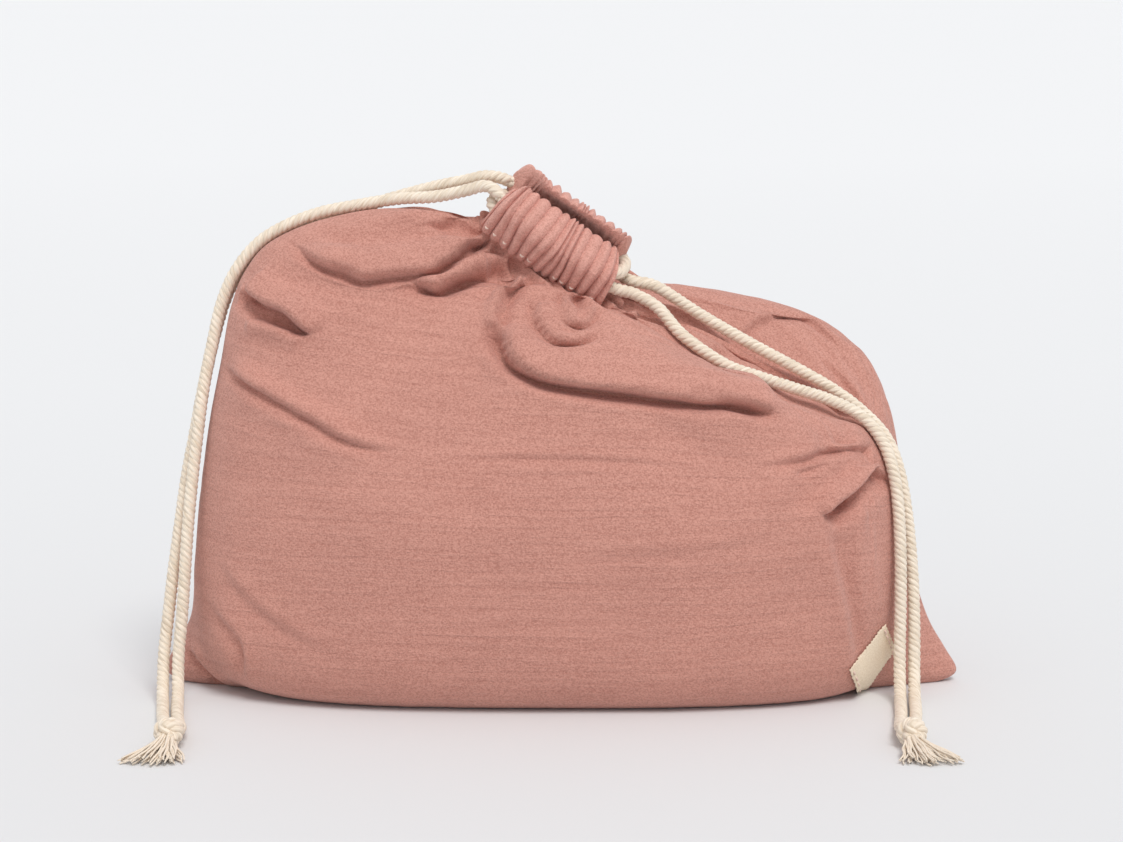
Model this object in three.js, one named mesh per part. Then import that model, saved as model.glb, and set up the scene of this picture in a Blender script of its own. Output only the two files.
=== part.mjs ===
import * as THREE from 'three';
import { mergeVertices } from 'three/addons/utils/BufferGeometryUtils.js';

// Drawstring lunch bag of cotton double gauze, filled and standing, its neck drawn shut.
// Millimetres, +Z up, X along the bag, the front towards -Y.
// The origin lies on the resting surface under the middle of the bag.

// Cloth body
const bellyWidth = 294;
const earSpan = 320;
const bagDepth = 115;
const roofHeight = 190;
const clothThickness = 2;
const seamGap = 0.3;
const earPinchShare = 0.45;
const earSpreadShare = 0.16;
const lobeLift = 28;
const lobeReach = 16;

// Gathered neck and its drawstring channel
const neckSpan = 50;
const neckShift = 1;
const neckForward = 2;
const neckRise = 9;
const neckFall = 25;
const neckDepth = 20;
const neckBendShare = 0.8;
const neckLean = THREE.MathUtils.degToRad(30);
const neckTilt = THREE.MathUtils.degToRad(38);
const endLean = THREE.MathUtils.degToRad(2);
const endTilt = THREE.MathUtils.degToRad(4);
const channelHeight = 22;
const channelThickness = 10.4;
const collarHeight = 4;
const stitchGap = 0.7;
const pleatDepth = 1.5;
const pleatCount = 12;
const channelEndAngle = THREE.MathUtils.degToRad(34);

// Cords
const cordDiameter = 5;
const cordClearance = 0.4;
const boreClearance = 1;
const cordSides = 10;
const runEndAngle = THREE.MathUtils.degToRad(31);
const touchGap = 0.3;

// Knots and tassels at the cords' ends
const knotDiameter = 12;
const knotLength = 11;
const tasselLength = 20;
const tasselWidth = 26;
const tasselHeight = 6;
const tasselRoot = 8;
const tasselFray = 3;

// Woven label on the lower right of the front
const labelThickness = 0.8;
const labelLift = 0.5;

// Fineness of the lofts
const bodyColumns = 34;
const columnCrowding = 0.72;
const foldColumnShares = { first: 0.18, last: 0.84 };
const firstFoldRing = 5;
const stepsPerPleat = 4;
const tasselSides = 16;
const tasselSteps = 4;
const tasselFlareShare = 1.2;
const labelColumns = 8;
const labelRows = 4;
const runSteps = 22;
const weldGap = 0.0003;

const neckLeftEnd = new THREE.Vector3(
  -neckSpan / 2 - neckShift, -neckForward, roofHeight + neckRise);
const neckRightEnd = new THREE.Vector3(
  neckSpan / 2 - neckShift, -neckForward, roofHeight - neckFall);
const halfWidth = bellyWidth / 2;
const halfSpan = earSpan / 2;
const halfDepth = bagDepth / 2;
const cordRadius = cordDiameter / 2;

const rose = { color: 0xc48a7e, roughness: 0.92, metalness: 0 };
const roseInside = { color: 0xb97f74, roughness: 0.94, metalness: 0 };
const cream = { color: 0xe9dfcd, roughness: 0.88, metalness: 0 };
const creamKnot = { color: 0xe3d6c0, roughness: 0.9, metalness: 0 };
const labelCloth = { color: 0xe6d9bd, roughness: 0.85, metalness: 0 };

// Rings of the body from the resting edge to just under the neck, as shares.
// heights: of the roof height, at the left seam, front, right seam and back
// sides: of half the belly width, left and right, without the ears
// spans: of half the ear span, left and right, at the tip of the ear or else 0
// depths: of half the depth, front and back
// lobe: share of the lift of the back right lobe; dip: of the same, down, on the front right
const ringShares = [
  { heights: [0, 0, 0, 0], sides: [0.80, 0.78], spans: [0.95, 0.955], depths: [0.70, 0.72],
    square: 3.2, lobe: 0, dip: 0 },
  { heights: [0.026, 0.021, 0.026, 0.021], sides: [0.90, 0.845], spans: [1, 1],
    depths: [0.83, 0.83], square: 3.0, lobe: 0, dip: 0 },
  { heights: [0.074, 0.063, 0.074, 0.063], sides: [0.96, 0.885], spans: [0.98, 0.97],
    depths: [0.92, 0.92], square: 2.8, lobe: 0, dip: 0 },
  { heights: [0.147, 0.142, 0.147, 0.142], sides: [0.993, 0.912], spans: [0.937, 0.92],
    depths: [0.98, 0.97], square: 2.6, lobe: 0, dip: 0 },
  { heights: [0.274, 0.263, 0.263, 0.263], sides: [1, 0.925], spans: [0, 0.875],
    depths: [1, 1], square: 2.5, lobe: 0, dip: 0 },
  { heights: [0.42, 0.39, 0.38, 0.40], sides: [0.98, 0.918], spans: [0, 0],
    depths: [0.99, 0.99], square: 2.45, lobe: 0.25, dip: 0 },
  { heights: [0.568, 0.505, 0.447, 0.537], sides: [0.952, 0.905], spans: [0, 0],
    depths: [0.92, 0.957], square: 2.4, lobe: 0.6, dip: 0 },
  { heights: [0.695, 0.605, 0.50, 0.653], sides: [0.918, 0.884], spans: [0, 0],
    depths: [0.817, 0.887], square: 2.3, lobe: 0.84, dip: 0 },
  { heights: [0.80, 0.69, 0.547, 0.737], sides: [0.891, 0.844], spans: [0, 0],
    depths: [0.696, 0.765], square: 2.25, lobe: 0.82, dip: 0 },
  { heights: [0.879, 0.753, 0.589, 0.80], sides: [0.85, 0.776], spans: [0, 0],
    depths: [0.574, 0.626], square: 2.2, lobe: 0.5, dip: 0.3 },
  { heights: [0.942, 0.795, 0.637, 0.842], sides: [0.776, 0.673], spans: [0, 0],
    depths: [0.47, 0.53], square: 2.1, lobe: 0.22, dip: 0.36 },
  { heights: [0.989, 0.826, 0.70, 0.874], sides: [0.626, 0.517], spans: [0, 0],
    depths: [0.365, 0.47], square: 2, lobe: 0.04, dip: 0.36 },
  { heights: [1.01, 0.853, 0.768, 0.90], sides: [0.422, 0.34], spans: [0, 0],
    depths: [0.296, 0.42], square: 2, lobe: 0, dip: 0.2 },
];
// Strips of the flat base between the bottom seam and the resting edge.
const baseShares = [0, 0.4, 0.75];
const hemShare = 0.05;
const floorClimbShare = 0.35;

// Main folds of the front, where the filled bag hangs over itself. Each line runs from left to
// right as seen from the front, in shares of half the belly width and of the roof height.
// The cloth above a line stands out by its rise and the cloth below lies back by its sink.
const foldTaperShare = 0.6;
const frontFolds = [
  { lineShares: [[-0.74, 0.97], [-0.65, 0.90], [-0.53, 0.87], [-0.39, 0.88], [-0.16, 0.95]],
    rise: 3, reach: 8, sink: 6, fade: 7 },
  { lineShares: [[-0.88, 0.88], [-0.79, 0.84], [-0.73, 0.81], [-0.64, 0.72]],
    rise: 3, reach: 12, sink: 7, fade: 12 },
  { lineShares: [[-0.94, 0.73], [-0.79, 0.65], [-0.66, 0.59], [-0.5, 0.54], [-0.3, 0.5]],
    rise: 1.5, reach: 10, sink: 2.5, fade: 11 },
  { lineShares: [[-0.19, 0.80], [-0.15, 0.72], [-0.05, 0.68], [0.16, 0.66], [0.36, 0.65],
    [0.46, 0.62]], rise: 4.5, reach: 11, sink: 7, fade: 10 },
  { lineShares: [[0.56, 0.32], [0.66, 0.40], [0.73, 0.43], [0.83, 0.48]],
    rise: 2, reach: 9, sink: 5, fade: 12 },
];

// Channel section in shares of its thickness and height, from the stitch line round.
const channelShares = [
  [-0.22, -0.5], [0.22, -0.5], [0.44, -0.36], [0.5, -0.12], [0.5, 0.14], [0.4, 0.36],
  [0.16, 0.5], [-0.16, 0.5], [-0.4, 0.36], [-0.5, 0.14], [-0.5, -0.12], [-0.44, -0.36],
];
const boreShares = [
  [-0.4, -1], [0.4, -1], [0.85, -0.75], [1, -0.3], [1, 0.3], [0.85, 0.75],
  [0.4, 1], [-0.4, 1], [-0.85, 0.75], [-1, 0.3], [-1, -0.3], [-0.85, -0.75],
];

// Routes of the four tails, chosen by hand. Each runs from the neck over the shoulder of the
// bag and down beside it to the resting surface, then on along that surface to its knot.
const tailRoutes = {
  left_front_tail: {
    hanging: [
      [-23.4, -8.3, 196.9], [-24.8, -7.6, 198.4], [-27, -6.6, 200.2], [-31, -4.9, 200.9],
      [-38, -3, 198.9], [-50, -0.5, 196.4], [-64, 1.8, 195.4], [-80, 3.5, 192.8],
      [-95, 4, 189.8], [-108, 4, 185], [-119.6, 3.2, 178], [-128.8, 1.5, 167],
      [-134.6, -0.5, 154], [-138, -3.8, 139], [-141.2, -9, 122], [-143.4, -14, 104],
      [-145.4, -18, 86], [-147, -22, 68], [-148.2, -25, 50], [-149.5, -27, 33],
      [-150.8, -28.5, 20], [-151, -31, 10.5], [-150.4, -36, 4.9], [-149.8, -41.5, 3],
      [-149.5, -44, 2.9],
    ],
    lying: [
      [-149.4, -44.3, 2.9], [-149.1, -46.8, 2.8], [-147.6, -57, 2.8], [-145.4, -69, 2.9],
      [-143.2, -79, 4], [-142.7, -83.5, 5.6], [-142.6, -85.7, 5.6],
    ],
  },
  left_back_tail: {
    hanging: [
      [-20.8, 2.7, 202.3], [-22.9, 2.2, 203.2], [-26.5, 1.6, 204.1], [-31, 1.6, 204.1],
      [-38, 3, 202.4], [-50, 6, 199.8], [-64, 8, 196], [-80, 9.5, 191.2], [-95, 10, 187],
      [-108, 9.5, 182.6], [-119, 8.5, 176], [-127.8, 7, 166.4], [-134, 5.5, 154.4],
      [-138.4, 2, 139], [-142, -3, 122], [-145.2, -8, 104], [-148.5, -12, 86],
      [-151, -16, 68], [-153.5, -19.5, 50], [-155.5, -22.5, 33], [-157, -25, 20],
      [-157.3, -28.5, 10.5], [-156.6, -35, 4.9], [-155.7, -41, 3], [-155.3, -43.5, 2.9],
    ],
    lying: [
      [-155.2, -43.8, 2.9], [-154.8, -46.3, 2.8], [-153.2, -57, 2.8], [-151, -69, 2.9],
      [-148.9, -79, 4], [-148.4, -83.5, 5.6], [-148.3, -85.7, 5.6],
    ],
  },
  right_front_tail: {
    hanging: [
      [18.8, -6.7, 161.7], [20.8, -6.2, 160.8], [24, -5.6, 159.8], [29, -5.8, 158.4],
      [38, -9.5, 153.4], [47.4, -16.5, 143.6], [63.4, -21, 133], [77, -20.5, 127.9],
      [91.4, -17, 122.7], [106, -13.2, 117.4], [118.5, -13, 110.8], [126.6, -15.5, 101],
      [130.6, -19.8, 89], [132.4, -23.5, 74], [133.2, -26, 55], [133.4, -27, 38],
      [133.4, -27.8, 22], [133.3, -30, 11.5], [132.9, -35.5, 5], [132.4, -40.5, 3],
      [132.1, -43, 2.9],
    ],
    lying: [
      [132.1, -43.3, 2.9], [131.8, -45.8, 2.8], [130.6, -56, 2.8], [128.8, -68, 2.9],
      [127.3, -78, 4], [126.9, -83.5, 5.6], [126.8, -85.7, 5.6],
    ],
  },
  right_back_tail: {
    hanging: [
      [21.4, 4.3, 167.1], [22.8, 3.6, 165.6], [25, 2.5, 163.9], [29, 1.2, 162.6],
      [38, 1.4, 160.4], [55.4, 2, 149.2], [75, 0.8, 138], [95, -1, 127.4],
      [108, -3, 120], [119, -6, 112], [128.3, -10, 102.2], [133.2, -14, 90],
      [136.2, -17.5, 74], [138.2, -20.5, 55], [139.2, -23, 38], [139.5, -25, 22],
      [139.3, -27.8, 11.5], [138.7, -34, 5], [138.1, -40.5, 3], [137.8, -43, 2.9],
    ],
    lying: [
      [137.8, -43.3, 2.9], [137.5, -45.8, 2.8], [136.3, -56, 2.8], [134.5, -68, 2.9],
      [133, -78, 4], [132.6, -83.5, 5.6], [132.5, -85.7, 5.6],
    ],
  },
};
const knotPlaces = {
  left: { place: [-145.45, -86, 6], sway: 3 },
  right: { place: [129.65, -86, 6], sway: -5 },
};

// Closed shell between an outer and an inner grid of points.
function shellBetween(outer, inner) {
  const rows = outer.length;
  const columns = outer[0].length;
  const points = [...outer.flat(), ...inner.flat()];
  const faces = [];
  const quad = (a, b, c, d) => faces.push(a, b, c, a, c, d);
  const at = (row, column, side) => side * rows * columns + row * columns + column;
  for (let row = 0; row < rows - 1; row += 1) {
    for (let column = 0; column < columns - 1; column += 1) {
      const corners = [[row, column], [row, column + 1], [row + 1, column + 1], [row + 1, column]];
      quad(...corners.map(([r, c]) => at(r, c, 0)));
      quad(...corners.reverse().map(([r, c]) => at(r, c, 1)));
    }
  }
  // Both seams of a pair split their rim along the same diagonal, so that they lie parallel.
  for (let row = 0; row < rows - 1; row += 1) {
    quad(at(row, 0, 0), at(row + 1, 0, 0), at(row + 1, 0, 1), at(row, 0, 1));
    const end = columns - 1;
    quad(at(row, end, 0), at(row, end, 1), at(row + 1, end, 1), at(row + 1, end, 0));
  }
  for (let column = 0; column < columns - 1; column += 1) {
    quad(at(0, column + 1, 0), at(0, column, 0), at(0, column, 1), at(0, column + 1, 1));
    const top = rows - 1;
    quad(at(top, column, 0), at(top, column + 1, 0), at(top, column + 1, 1), at(top, column, 1));
  }
  return geometryFrom(points, faces);
}

// Open tube with a wall: outer rings and bore rings of as many points.
function walledTube(outerRings, boreRings) {
  const count = outerRings[0].length;
  const points = [...outerRings.flat(), ...boreRings.flat()];
  const bore = outerRings.length * count;
  const faces = [];
  const quad = (a, b, c, d) => faces.push(a, b, c, a, c, d);
  for (let ring = 0; ring < outerRings.length - 1; ring += 1) {
    for (let side = 0; side < count; side += 1) {
      const a = ring * count + side;
      const b = ring * count + (side + 1) % count;
      quad(b, a, a + count, b + count);
      quad(bore + b, bore + b + count, bore + a + count, bore + a);
    }
  }
  const last = (outerRings.length - 1) * count;
  for (let side = 0; side < count; side += 1) {
    const next = (side + 1) % count;
    quad(next, bore + next, bore + side, side);
    quad(bore + last + side, bore + last + next, last + next, last + side);
  }
  return geometryFrom(points, faces);
}

// Solid loft through closed rings, capped at both ends.
function solidLoft(rings) {
  const count = rings[0].length;
  const points = rings.flat();
  const faces = [];
  for (let ring = 0; ring < rings.length - 1; ring += 1) {
    for (let side = 0; side < count; side += 1) {
      const a = ring * count + side;
      const b = ring * count + (side + 1) % count;
      faces.push(a, b, b + count, a, b + count, a + count);
    }
  }
  const capEnd = (first, turned) => {
    const middle = new THREE.Vector3();
    for (let side = 0; side < count; side += 1) {
      middle.addScaledVector(points[first + side], 1 / count);
    }
    points.push(middle);
    for (let side = 0; side < count; side += 1) {
      const pair = [first + side, first + (side + 1) % count];
      if (turned) pair.reverse();
      faces.push(points.length - 1, ...pair);
    }
  };
  capEnd(0, true);
  capEnd((rings.length - 1) * count, false);
  return geometryFrom(points, faces);
}

function geometryFrom(points, faces) {
  const geometry = new THREE.BufferGeometry();
  const positions = points.flatMap((point) => point.toArray());
  geometry.setAttribute('position', new THREE.Float32BufferAttribute(positions, 3));
  geometry.setIndex(faces);
  return geometry;
}

// Drops the attributes that keep shared corners apart, so that the solid is closed.
function weld(geometry) {
  geometry.deleteAttribute('normal');
  geometry.deleteAttribute('uv');
  return mergeVertices(geometry, weldGap);
}

// Place round the neck: a point at half height, the way up the channel and the way out of it.
function neckFrame(angle) {
  const along = neckRightEnd.clone().sub(neckLeftEnd).multiplyScalar(0.5);
  const middle = neckRightEnd.clone().add(neckLeftEnd).multiplyScalar(0.5);
  const leanAway = (lean, tilt) => new THREE.Vector3(
    Math.sin(tilt) * Math.cos(lean), -Math.sin(lean), Math.cos(tilt) * Math.cos(lean));
  const roundness = Math.sin(angle) ** 2;
  const up = leanAway(endLean, endTilt).lerp(leanAway(neckLean, neckTilt), roundness);
  up.normalize();
  const across = leanAway(neckLean, neckTilt).cross(along).normalize();
  const round = (value) => Math.sign(value) * Math.abs(value) ** neckBendShare;
  const pointAt = (turn) => middle.clone()
    .addScaledVector(along, round(Math.cos(turn)))
    .addScaledVector(across, neckDepth / 2 * round(Math.sin(turn)));
  const nudge = THREE.MathUtils.degToRad(2);
  const forward = pointAt(angle + nudge).sub(pointAt(angle - nudge)).normalize();
  const out = forward.clone().cross(up).normalize();
  up.crossVectors(out, forward).normalize();
  return { point: pointAt(angle), up, out, forward };
}

// Point on one ring of the body. The angle runs from the right seam through the back.
function ringPoint(shares, angle, baseShare = 1) {
  const cosine = Math.cos(angle);
  const sine = Math.sin(angle);
  const leftward = cosine < 0 ? 0 : 1;
  const rearward = sine < 0 ? 0 : 1;
  const bend = 2 / shares.square;
  const side = halfWidth * shares.sides[leftward];
  const ear = Math.max(halfSpan * shares.spans[leftward] - side, 0);
  const nearSeam = Math.exp(-((sine / earSpreadShare) ** 2));
  const earHere = ear * nearSeam;
  const backRight = Math.max(Math.sin(2 * angle), 0) * (cosine > 0 ? 1 : 0);
  const frontRight = Math.max(-Math.sin(2 * angle), 0) * (cosine > 0 ? 1 : 0);
  const pinch = 1 - earPinchShare * nearSeam * (ear > 0 ? 1 : 0);
  const hem = 1 - hemShare * (1 - baseShare);
  const x = Math.sign(cosine) * (side * Math.abs(cosine) ** bend + earHere) * hem
    + lobeReach * shares.lobe * backRight;
  const y = Math.sign(sine) * halfDepth * shares.depths[rearward]
    * Math.abs(sine) ** bend * pinch * baseShare;
  const heights = shares.heights;
  const level = (heights[leftward ? 2 : 0] * cosine ** 2 + heights[rearward ? 3 : 1] * sine ** 2);
  const z = roofHeight * level + lobeLift * (shares.lobe * backRight - shares.dip * frontRight);
  return new THREE.Vector3(x, y, z);
}

// Column angles of one panel from its first seam to its last, crowded at the seams.
function columnAngles(start) {
  const angles = [];
  for (let column = 0; column <= bodyColumns; column += 1) {
    const share = column / bodyColumns;
    const eased = share - columnCrowding * Math.sin(2 * Math.PI * share) / (2 * Math.PI);
    angles.push(start + Math.PI * eased);
  }
  return angles;
}

// Outer skin of a panel as rows of points, from the bottom seam to the stitch line.
function skinRows(angles) {
  const rows = [];
  for (const baseShare of baseShares) {
    rows.push(angles.map((angle) => ringPoint(ringShares[0], angle, baseShare)));
  }
  for (const shares of ringShares) {
    rows.push(angles.map((angle) => ringPoint(shares, angle)));
  }
  for (const drop of [collarHeight, stitchGap]) {
    rows.push(angles.map((angle) => {
      const { point, up, out } = neckFrame(angle);
      return point.clone().addScaledVector(up, -channelHeight / 2 - drop)
        .addScaledVector(out, clothThickness / 2);
    }));
  }
  return rows;
}

function midpoint(from, to) {
  return from.clone().lerp(to, 1 / 2);
}

// A list with one more item in the middle of each wide step.
function withMiddles(list, isWide, middleOf) {
  return list.flatMap((item, place) => (
    isWide(place) ? [middleOf(list[place - 1], item), item] : [item]));
}

// Outward normal of the skin at a grid place.
function skinNormal(rows, row, column) {
  const span = (from, to) => to.clone().sub(from);
  const below = rows[Math.max(row - 1, 0)][column];
  const above = rows[Math.min(row + 1, rows.length - 1)][column];
  const before = rows[row][Math.max(column - 1, 0)];
  const after = rows[row][Math.min(column + 1, rows[row].length - 1)];
  const normal = span(before, after).cross(span(below, above));
  return normal.normalize();
}

// Where a point lies by a fold's line, as seen from the front.
function placeByFold(point, lineShares) {
  const line = lineShares.map(([across, high]) => (
    new THREE.Vector2(across * halfWidth, high * roofHeight)));
  let nearest = { distance: Infinity };
  for (let corner = 1; corner < line.length; corner += 1) {
    const span = line[corner].clone().sub(line[corner - 1]);
    const away = new THREE.Vector2(point.x, point.z).sub(line[corner - 1]);
    const along = THREE.MathUtils.clamp(away.dot(span) / span.lengthSq(), 0, 1);
    const distance = away.clone().addScaledVector(span, -along).length();
    if (distance < nearest.distance) {
      const share = (corner - 1 + along) / (line.length - 1);
      nearest = { distance, share, above: span.cross(away) > 0 };
    }
  }
  return nearest;
}

// Presses the folds into the skin of the front, below its collar.
function pressFolds(rows) {
  return rows.map((line, row) => line.map((point, column) => {
    const moved = point.clone();
    if (row >= rows.length - 2) return moved;
    for (const fold of frontFolds) {
      const { distance, share, above } = placeByFold(point, fold.lineShares);
      const taper = Math.sin(Math.PI * share) ** foldTaperShare;
      const spread = above ? fold.reach : fold.fade;
      const fading = 1 - THREE.MathUtils.smoothstep(distance, 0, spread);
      const amount = (above ? fold.rise : -fold.sink) * taper * fading;
      moved.addScaledVector(skinNormal(rows, row, column), amount);
    }
    return moved;
  }));
}

// Keeps a point on its own side of the seam.
function offSeam(point, facing) {
  point.y = facing * Math.max(facing * point.y, seamGap / 2);
  return point;
}

// One panel: facing is -1 for the front and 1 for the back.
function panelGeometry(facing) {
  let angles = columnAngles(facing < 0 ? Math.PI : 0);
  const skin = skinRows(angles);
  const firstFoldRow = baseShares.length + firstFoldRing;
  const isTallStep = (row) => row > firstFoldRow && row < skin.length - 1;
  let rows = withMiddles(skin, isTallStep, (low, high) => (
    low.map((point, column) => midpoint(point, high[column]))));
  if (facing < 0) {
    const isWideStep = (column) => column > foldColumnShares.first * bodyColumns
      && column <= foldColumnShares.last * bodyColumns;
    angles = withMiddles(angles, isWideStep, (from, to) => (from + to) / 2);
    rows = pressFolds(rows.map((line) => withMiddles(line, isWideStep, midpoint)));
  }
  const collarRow = rows.length - 2;
  const inner = rows.map((line, row) => line.map((point, column) => {
    if (row >= collarRow) {
      const { out } = neckFrame(angles[column]);
      return point.clone().addScaledVector(out, -clothThickness);
    }
    const moved = point.clone().addScaledVector(skinNormal(rows, row, column), -clothThickness);
    const climb = Math.max(row - baseShares.length, 0) * floorClimbShare;
    moved.z = Math.max(moved.z, clothThickness * (1 + climb));
    return offSeam(moved, facing);
  }));
  const outer = rows.map((line, row) => line.map((point) => (
    row >= collarRow ? point.clone() : offSeam(point.clone(), facing))));
  for (const column of [0, angles.length - 1]) {
    for (const grid of [outer, inner]) {
      grid.forEach((line, row) => {
        const seam = row >= collarRow ? line[column].y : 0;
        line[column].y = seam + facing * seamGap / 2;
      });
    }
  }
  return { geometry: shellBetween(outer, inner), skin };
}

// One half of the channel: a pleated tube from one end of the neck to the other.
function channelGeometry(facing) {
  const steps = pleatCount * stepsPerPleat;
  const start = (facing < 0 ? Math.PI : 0) + channelEndAngle;
  const sweep = Math.PI - 2 * channelEndAngle;
  const boreHalfThickness = cordRadius + boreClearance;
  const boreHalfHeight = cordDiameter + cordClearance + boreClearance;
  const outerRings = [];
  const boreRings = [];
  for (let step = 0; step <= steps; step += 1) {
    const { point, up, out } = neckFrame(start + sweep * step / steps);
    const pleat = Math.cos(2 * Math.PI * pleatCount * step / steps);
    const thickness = channelThickness + pleatDepth * pleat;
    const place = (outward, upward) => point.clone()
      .addScaledVector(out, outward).addScaledVector(up, upward);
    outerRings.push(channelShares.map(([across, high]) => (
      place(across * thickness, high * channelHeight))));
    boreRings.push(boreShares.map(([across, high]) => (
      place(across * boreHalfThickness, high * boreHalfHeight))));
  }
  return walledTube(outerRings, boreRings);
}

function asVectors(list) {
  return list.map((point) => new THREE.Vector3(...point));
}

// Round cord along a list of points, a step every two diameters.
function cordGeometry(points) {
  const path = new THREE.CatmullRomCurve3(points, false, 'centripetal');
  const section = new THREE.Shape();
  for (let side = 0; side < cordSides; side += 1) {
    const turn = 2 * Math.PI * side / cordSides;
    const corner = [cordRadius * Math.cos(turn), cordRadius * Math.sin(turn)];
    if (side === 0) section.moveTo(...corner);
    else section.lineTo(...corner);
  }
  section.closePath();
  const steps = Math.ceil(path.getLength() / (2 * cordDiameter));
  return weld(new THREE.ExtrudeGeometry(section, { steps, extrudePath: path, bevelEnabled: false }));
}

// The part of a drawstring that the channel holds: in at the front, round the far end of
// the neck and out at the back. The two cords lie one above the other.
function runPoints(exitAngle, level) {
  const points = [];
  const sweep = 2 * Math.PI - 2 * runEndAngle;
  for (let step = 0; step <= runSteps; step += 1) {
    const { point, up } = neckFrame(exitAngle + runEndAngle + sweep * step / runSteps);
    points.push(point.addScaledVector(up, level * (cordRadius + cordClearance)));
  }
  return points;
}

// A stopper knot of two cords, with its axis along +Y and its rear face at the origin.
function knotGeometry() {
  const profileShares = [
    [0, 0], [0.62, 0], [0.9, 0.08], [1, 0.24], [0.93, 0.42], [0.82, 0.5],
    [0.95, 0.6], [1, 0.76], [0.86, 0.93], [0.55, 1], [0, 1],
  ];
  const profile = profileShares.map(([radius, length]) => (
    new THREE.Vector2(radius * knotDiameter / 2, length * knotLength)));
  return weld(new THREE.LatheGeometry(profile, tasselSides));
}

// The combed-out ends: a fan that widens and flattens, with a ragged edge, swayed sideways.
function tasselGeometry(sway) {
  const rings = [];
  for (let step = 0; step <= tasselSteps; step += 1) {
    const share = step / tasselSteps;
    const width = THREE.MathUtils.lerp(tasselRoot, tasselWidth, share ** tasselFlareShare) / 2;
    const height = THREE.MathUtils.lerp(tasselRoot, tasselHeight, share) / 2;
    const ring = [];
    for (let side = 0; side < tasselSides; side += 1) {
      const turn = 2 * Math.PI * side / tasselSides;
      const fray = step === tasselSteps && side % 2 ? tasselFray : 0;
      const droop = (knotDiameter / 2 - tasselHeight / 2) * share;
      ring.push(new THREE.Vector3(width * Math.cos(turn) + sway * share ** 2,
        tasselLength * share - fray, height * Math.sin(turn) - droop));
    }
    rings.push(ring.reverse());
  }
  return solidLoft(rings);
}

// Thin label that follows the skin of the front panel, between four places on its grid.
function labelGeometry(skin) {
  const cornerShares = { topLeft: [0.676, 5.3], topRight: [0.762, 6.05],
    bottomLeft: [0.712, 4.02], bottomRight: [0.794, 5.25] };
  const skinAt = (columnShare, row) => {
    const column = columnShare * bodyColumns;
    const [c, r] = [Math.floor(column), Math.floor(row)];
    const low = skin[r][c].clone().lerp(skin[r][c + 1], column - c);
    const high = skin[r + 1][c].clone().lerp(skin[r + 1][c + 1], column - c);
    return low.lerp(high, row - r);
  };
  const grid = [];
  for (let row = 0; row <= labelRows; row += 1) {
    const line = [];
    for (let column = 0; column <= labelColumns; column += 1) {
      const along = column / labelColumns;
      const down = row / labelRows;
      const mix = (a, b, t) => [a[0] + (b[0] - a[0]) * t, a[1] + (b[1] - a[1]) * t];
      const top = mix(cornerShares.topLeft, cornerShares.topRight, along);
      const bottom = mix(cornerShares.bottomLeft, cornerShares.bottomRight, along);
      line.push(skinAt(...mix(bottom, top, down)));
    }
    grid.push(line);
  }
  const lifted = (amount) => grid.map((line, row) => line.map((point, column) => (
    point.clone().addScaledVector(skinNormal(grid, row, column), amount))));
  return shellBetween(lifted(labelLift + labelThickness), lifted(labelLift));
}

function named(name, geometry, finish) {
  const mesh = new THREE.Mesh(geometry, new THREE.MeshStandardMaterial(finish));
  mesh.name = name;
  return mesh;
}

const bag = new THREE.Group();
const front = panelGeometry(-1);
const back = panelGeometry(1);
bag.add(named('front_panel', front.geometry, rose));
bag.add(named('back_panel', back.geometry, rose));
bag.add(named('front_channel', channelGeometry(-1), roseInside));
bag.add(named('back_channel', channelGeometry(1), roseInside));
bag.add(named('side_label', labelGeometry(front.skin), labelCloth));
bag.add(named('left_cord_run', cordGeometry(runPoints(Math.PI, 1)), cream));
bag.add(named('right_cord_run', cordGeometry(runPoints(0, -1)), cream));

for (const [name, route] of Object.entries(tailRoutes)) {
  bag.add(named(name, cordGeometry(asVectors(route.hanging)), cream));
  bag.add(named(`${name}_end`, cordGeometry(asVectors(route.lying)), cream));
}
for (const [side, { place, sway }] of Object.entries(knotPlaces)) {
  const pair = new THREE.Group();
  pair.position.set(...place);
  const knot = named(`${side}_knot`, knotGeometry(), creamKnot);
  knot.rotation.x = Math.PI;
  const tassel = named(`${side}_tassel`, tasselGeometry(sway), creamKnot);
  tassel.position.y = -knotLength - touchGap;
  tassel.rotation.z = Math.PI;
  pair.add(knot, tassel);
  bag.add(pair);
}

export default bag;
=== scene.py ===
"""Looks of the drawstring lunch bag: gathered gauze, twisted cords, knots and tassels."""
import math

import bpy
import numpy as np
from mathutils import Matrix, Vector


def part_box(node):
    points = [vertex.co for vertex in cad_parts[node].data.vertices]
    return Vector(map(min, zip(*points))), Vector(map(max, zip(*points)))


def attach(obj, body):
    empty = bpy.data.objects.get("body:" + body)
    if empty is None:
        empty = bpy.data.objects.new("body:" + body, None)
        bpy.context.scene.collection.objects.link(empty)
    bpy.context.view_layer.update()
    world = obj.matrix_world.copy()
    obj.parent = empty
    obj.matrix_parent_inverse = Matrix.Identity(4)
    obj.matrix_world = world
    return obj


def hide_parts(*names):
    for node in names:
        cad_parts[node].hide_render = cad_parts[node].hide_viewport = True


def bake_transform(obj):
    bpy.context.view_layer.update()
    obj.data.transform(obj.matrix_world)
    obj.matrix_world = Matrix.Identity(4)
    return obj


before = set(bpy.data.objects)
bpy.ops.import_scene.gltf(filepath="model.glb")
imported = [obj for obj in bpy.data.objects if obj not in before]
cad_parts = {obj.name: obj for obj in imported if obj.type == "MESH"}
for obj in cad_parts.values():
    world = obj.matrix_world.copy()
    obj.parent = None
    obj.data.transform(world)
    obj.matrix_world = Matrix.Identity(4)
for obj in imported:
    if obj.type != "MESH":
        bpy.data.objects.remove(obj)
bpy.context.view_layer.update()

MM = 0.001

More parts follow.
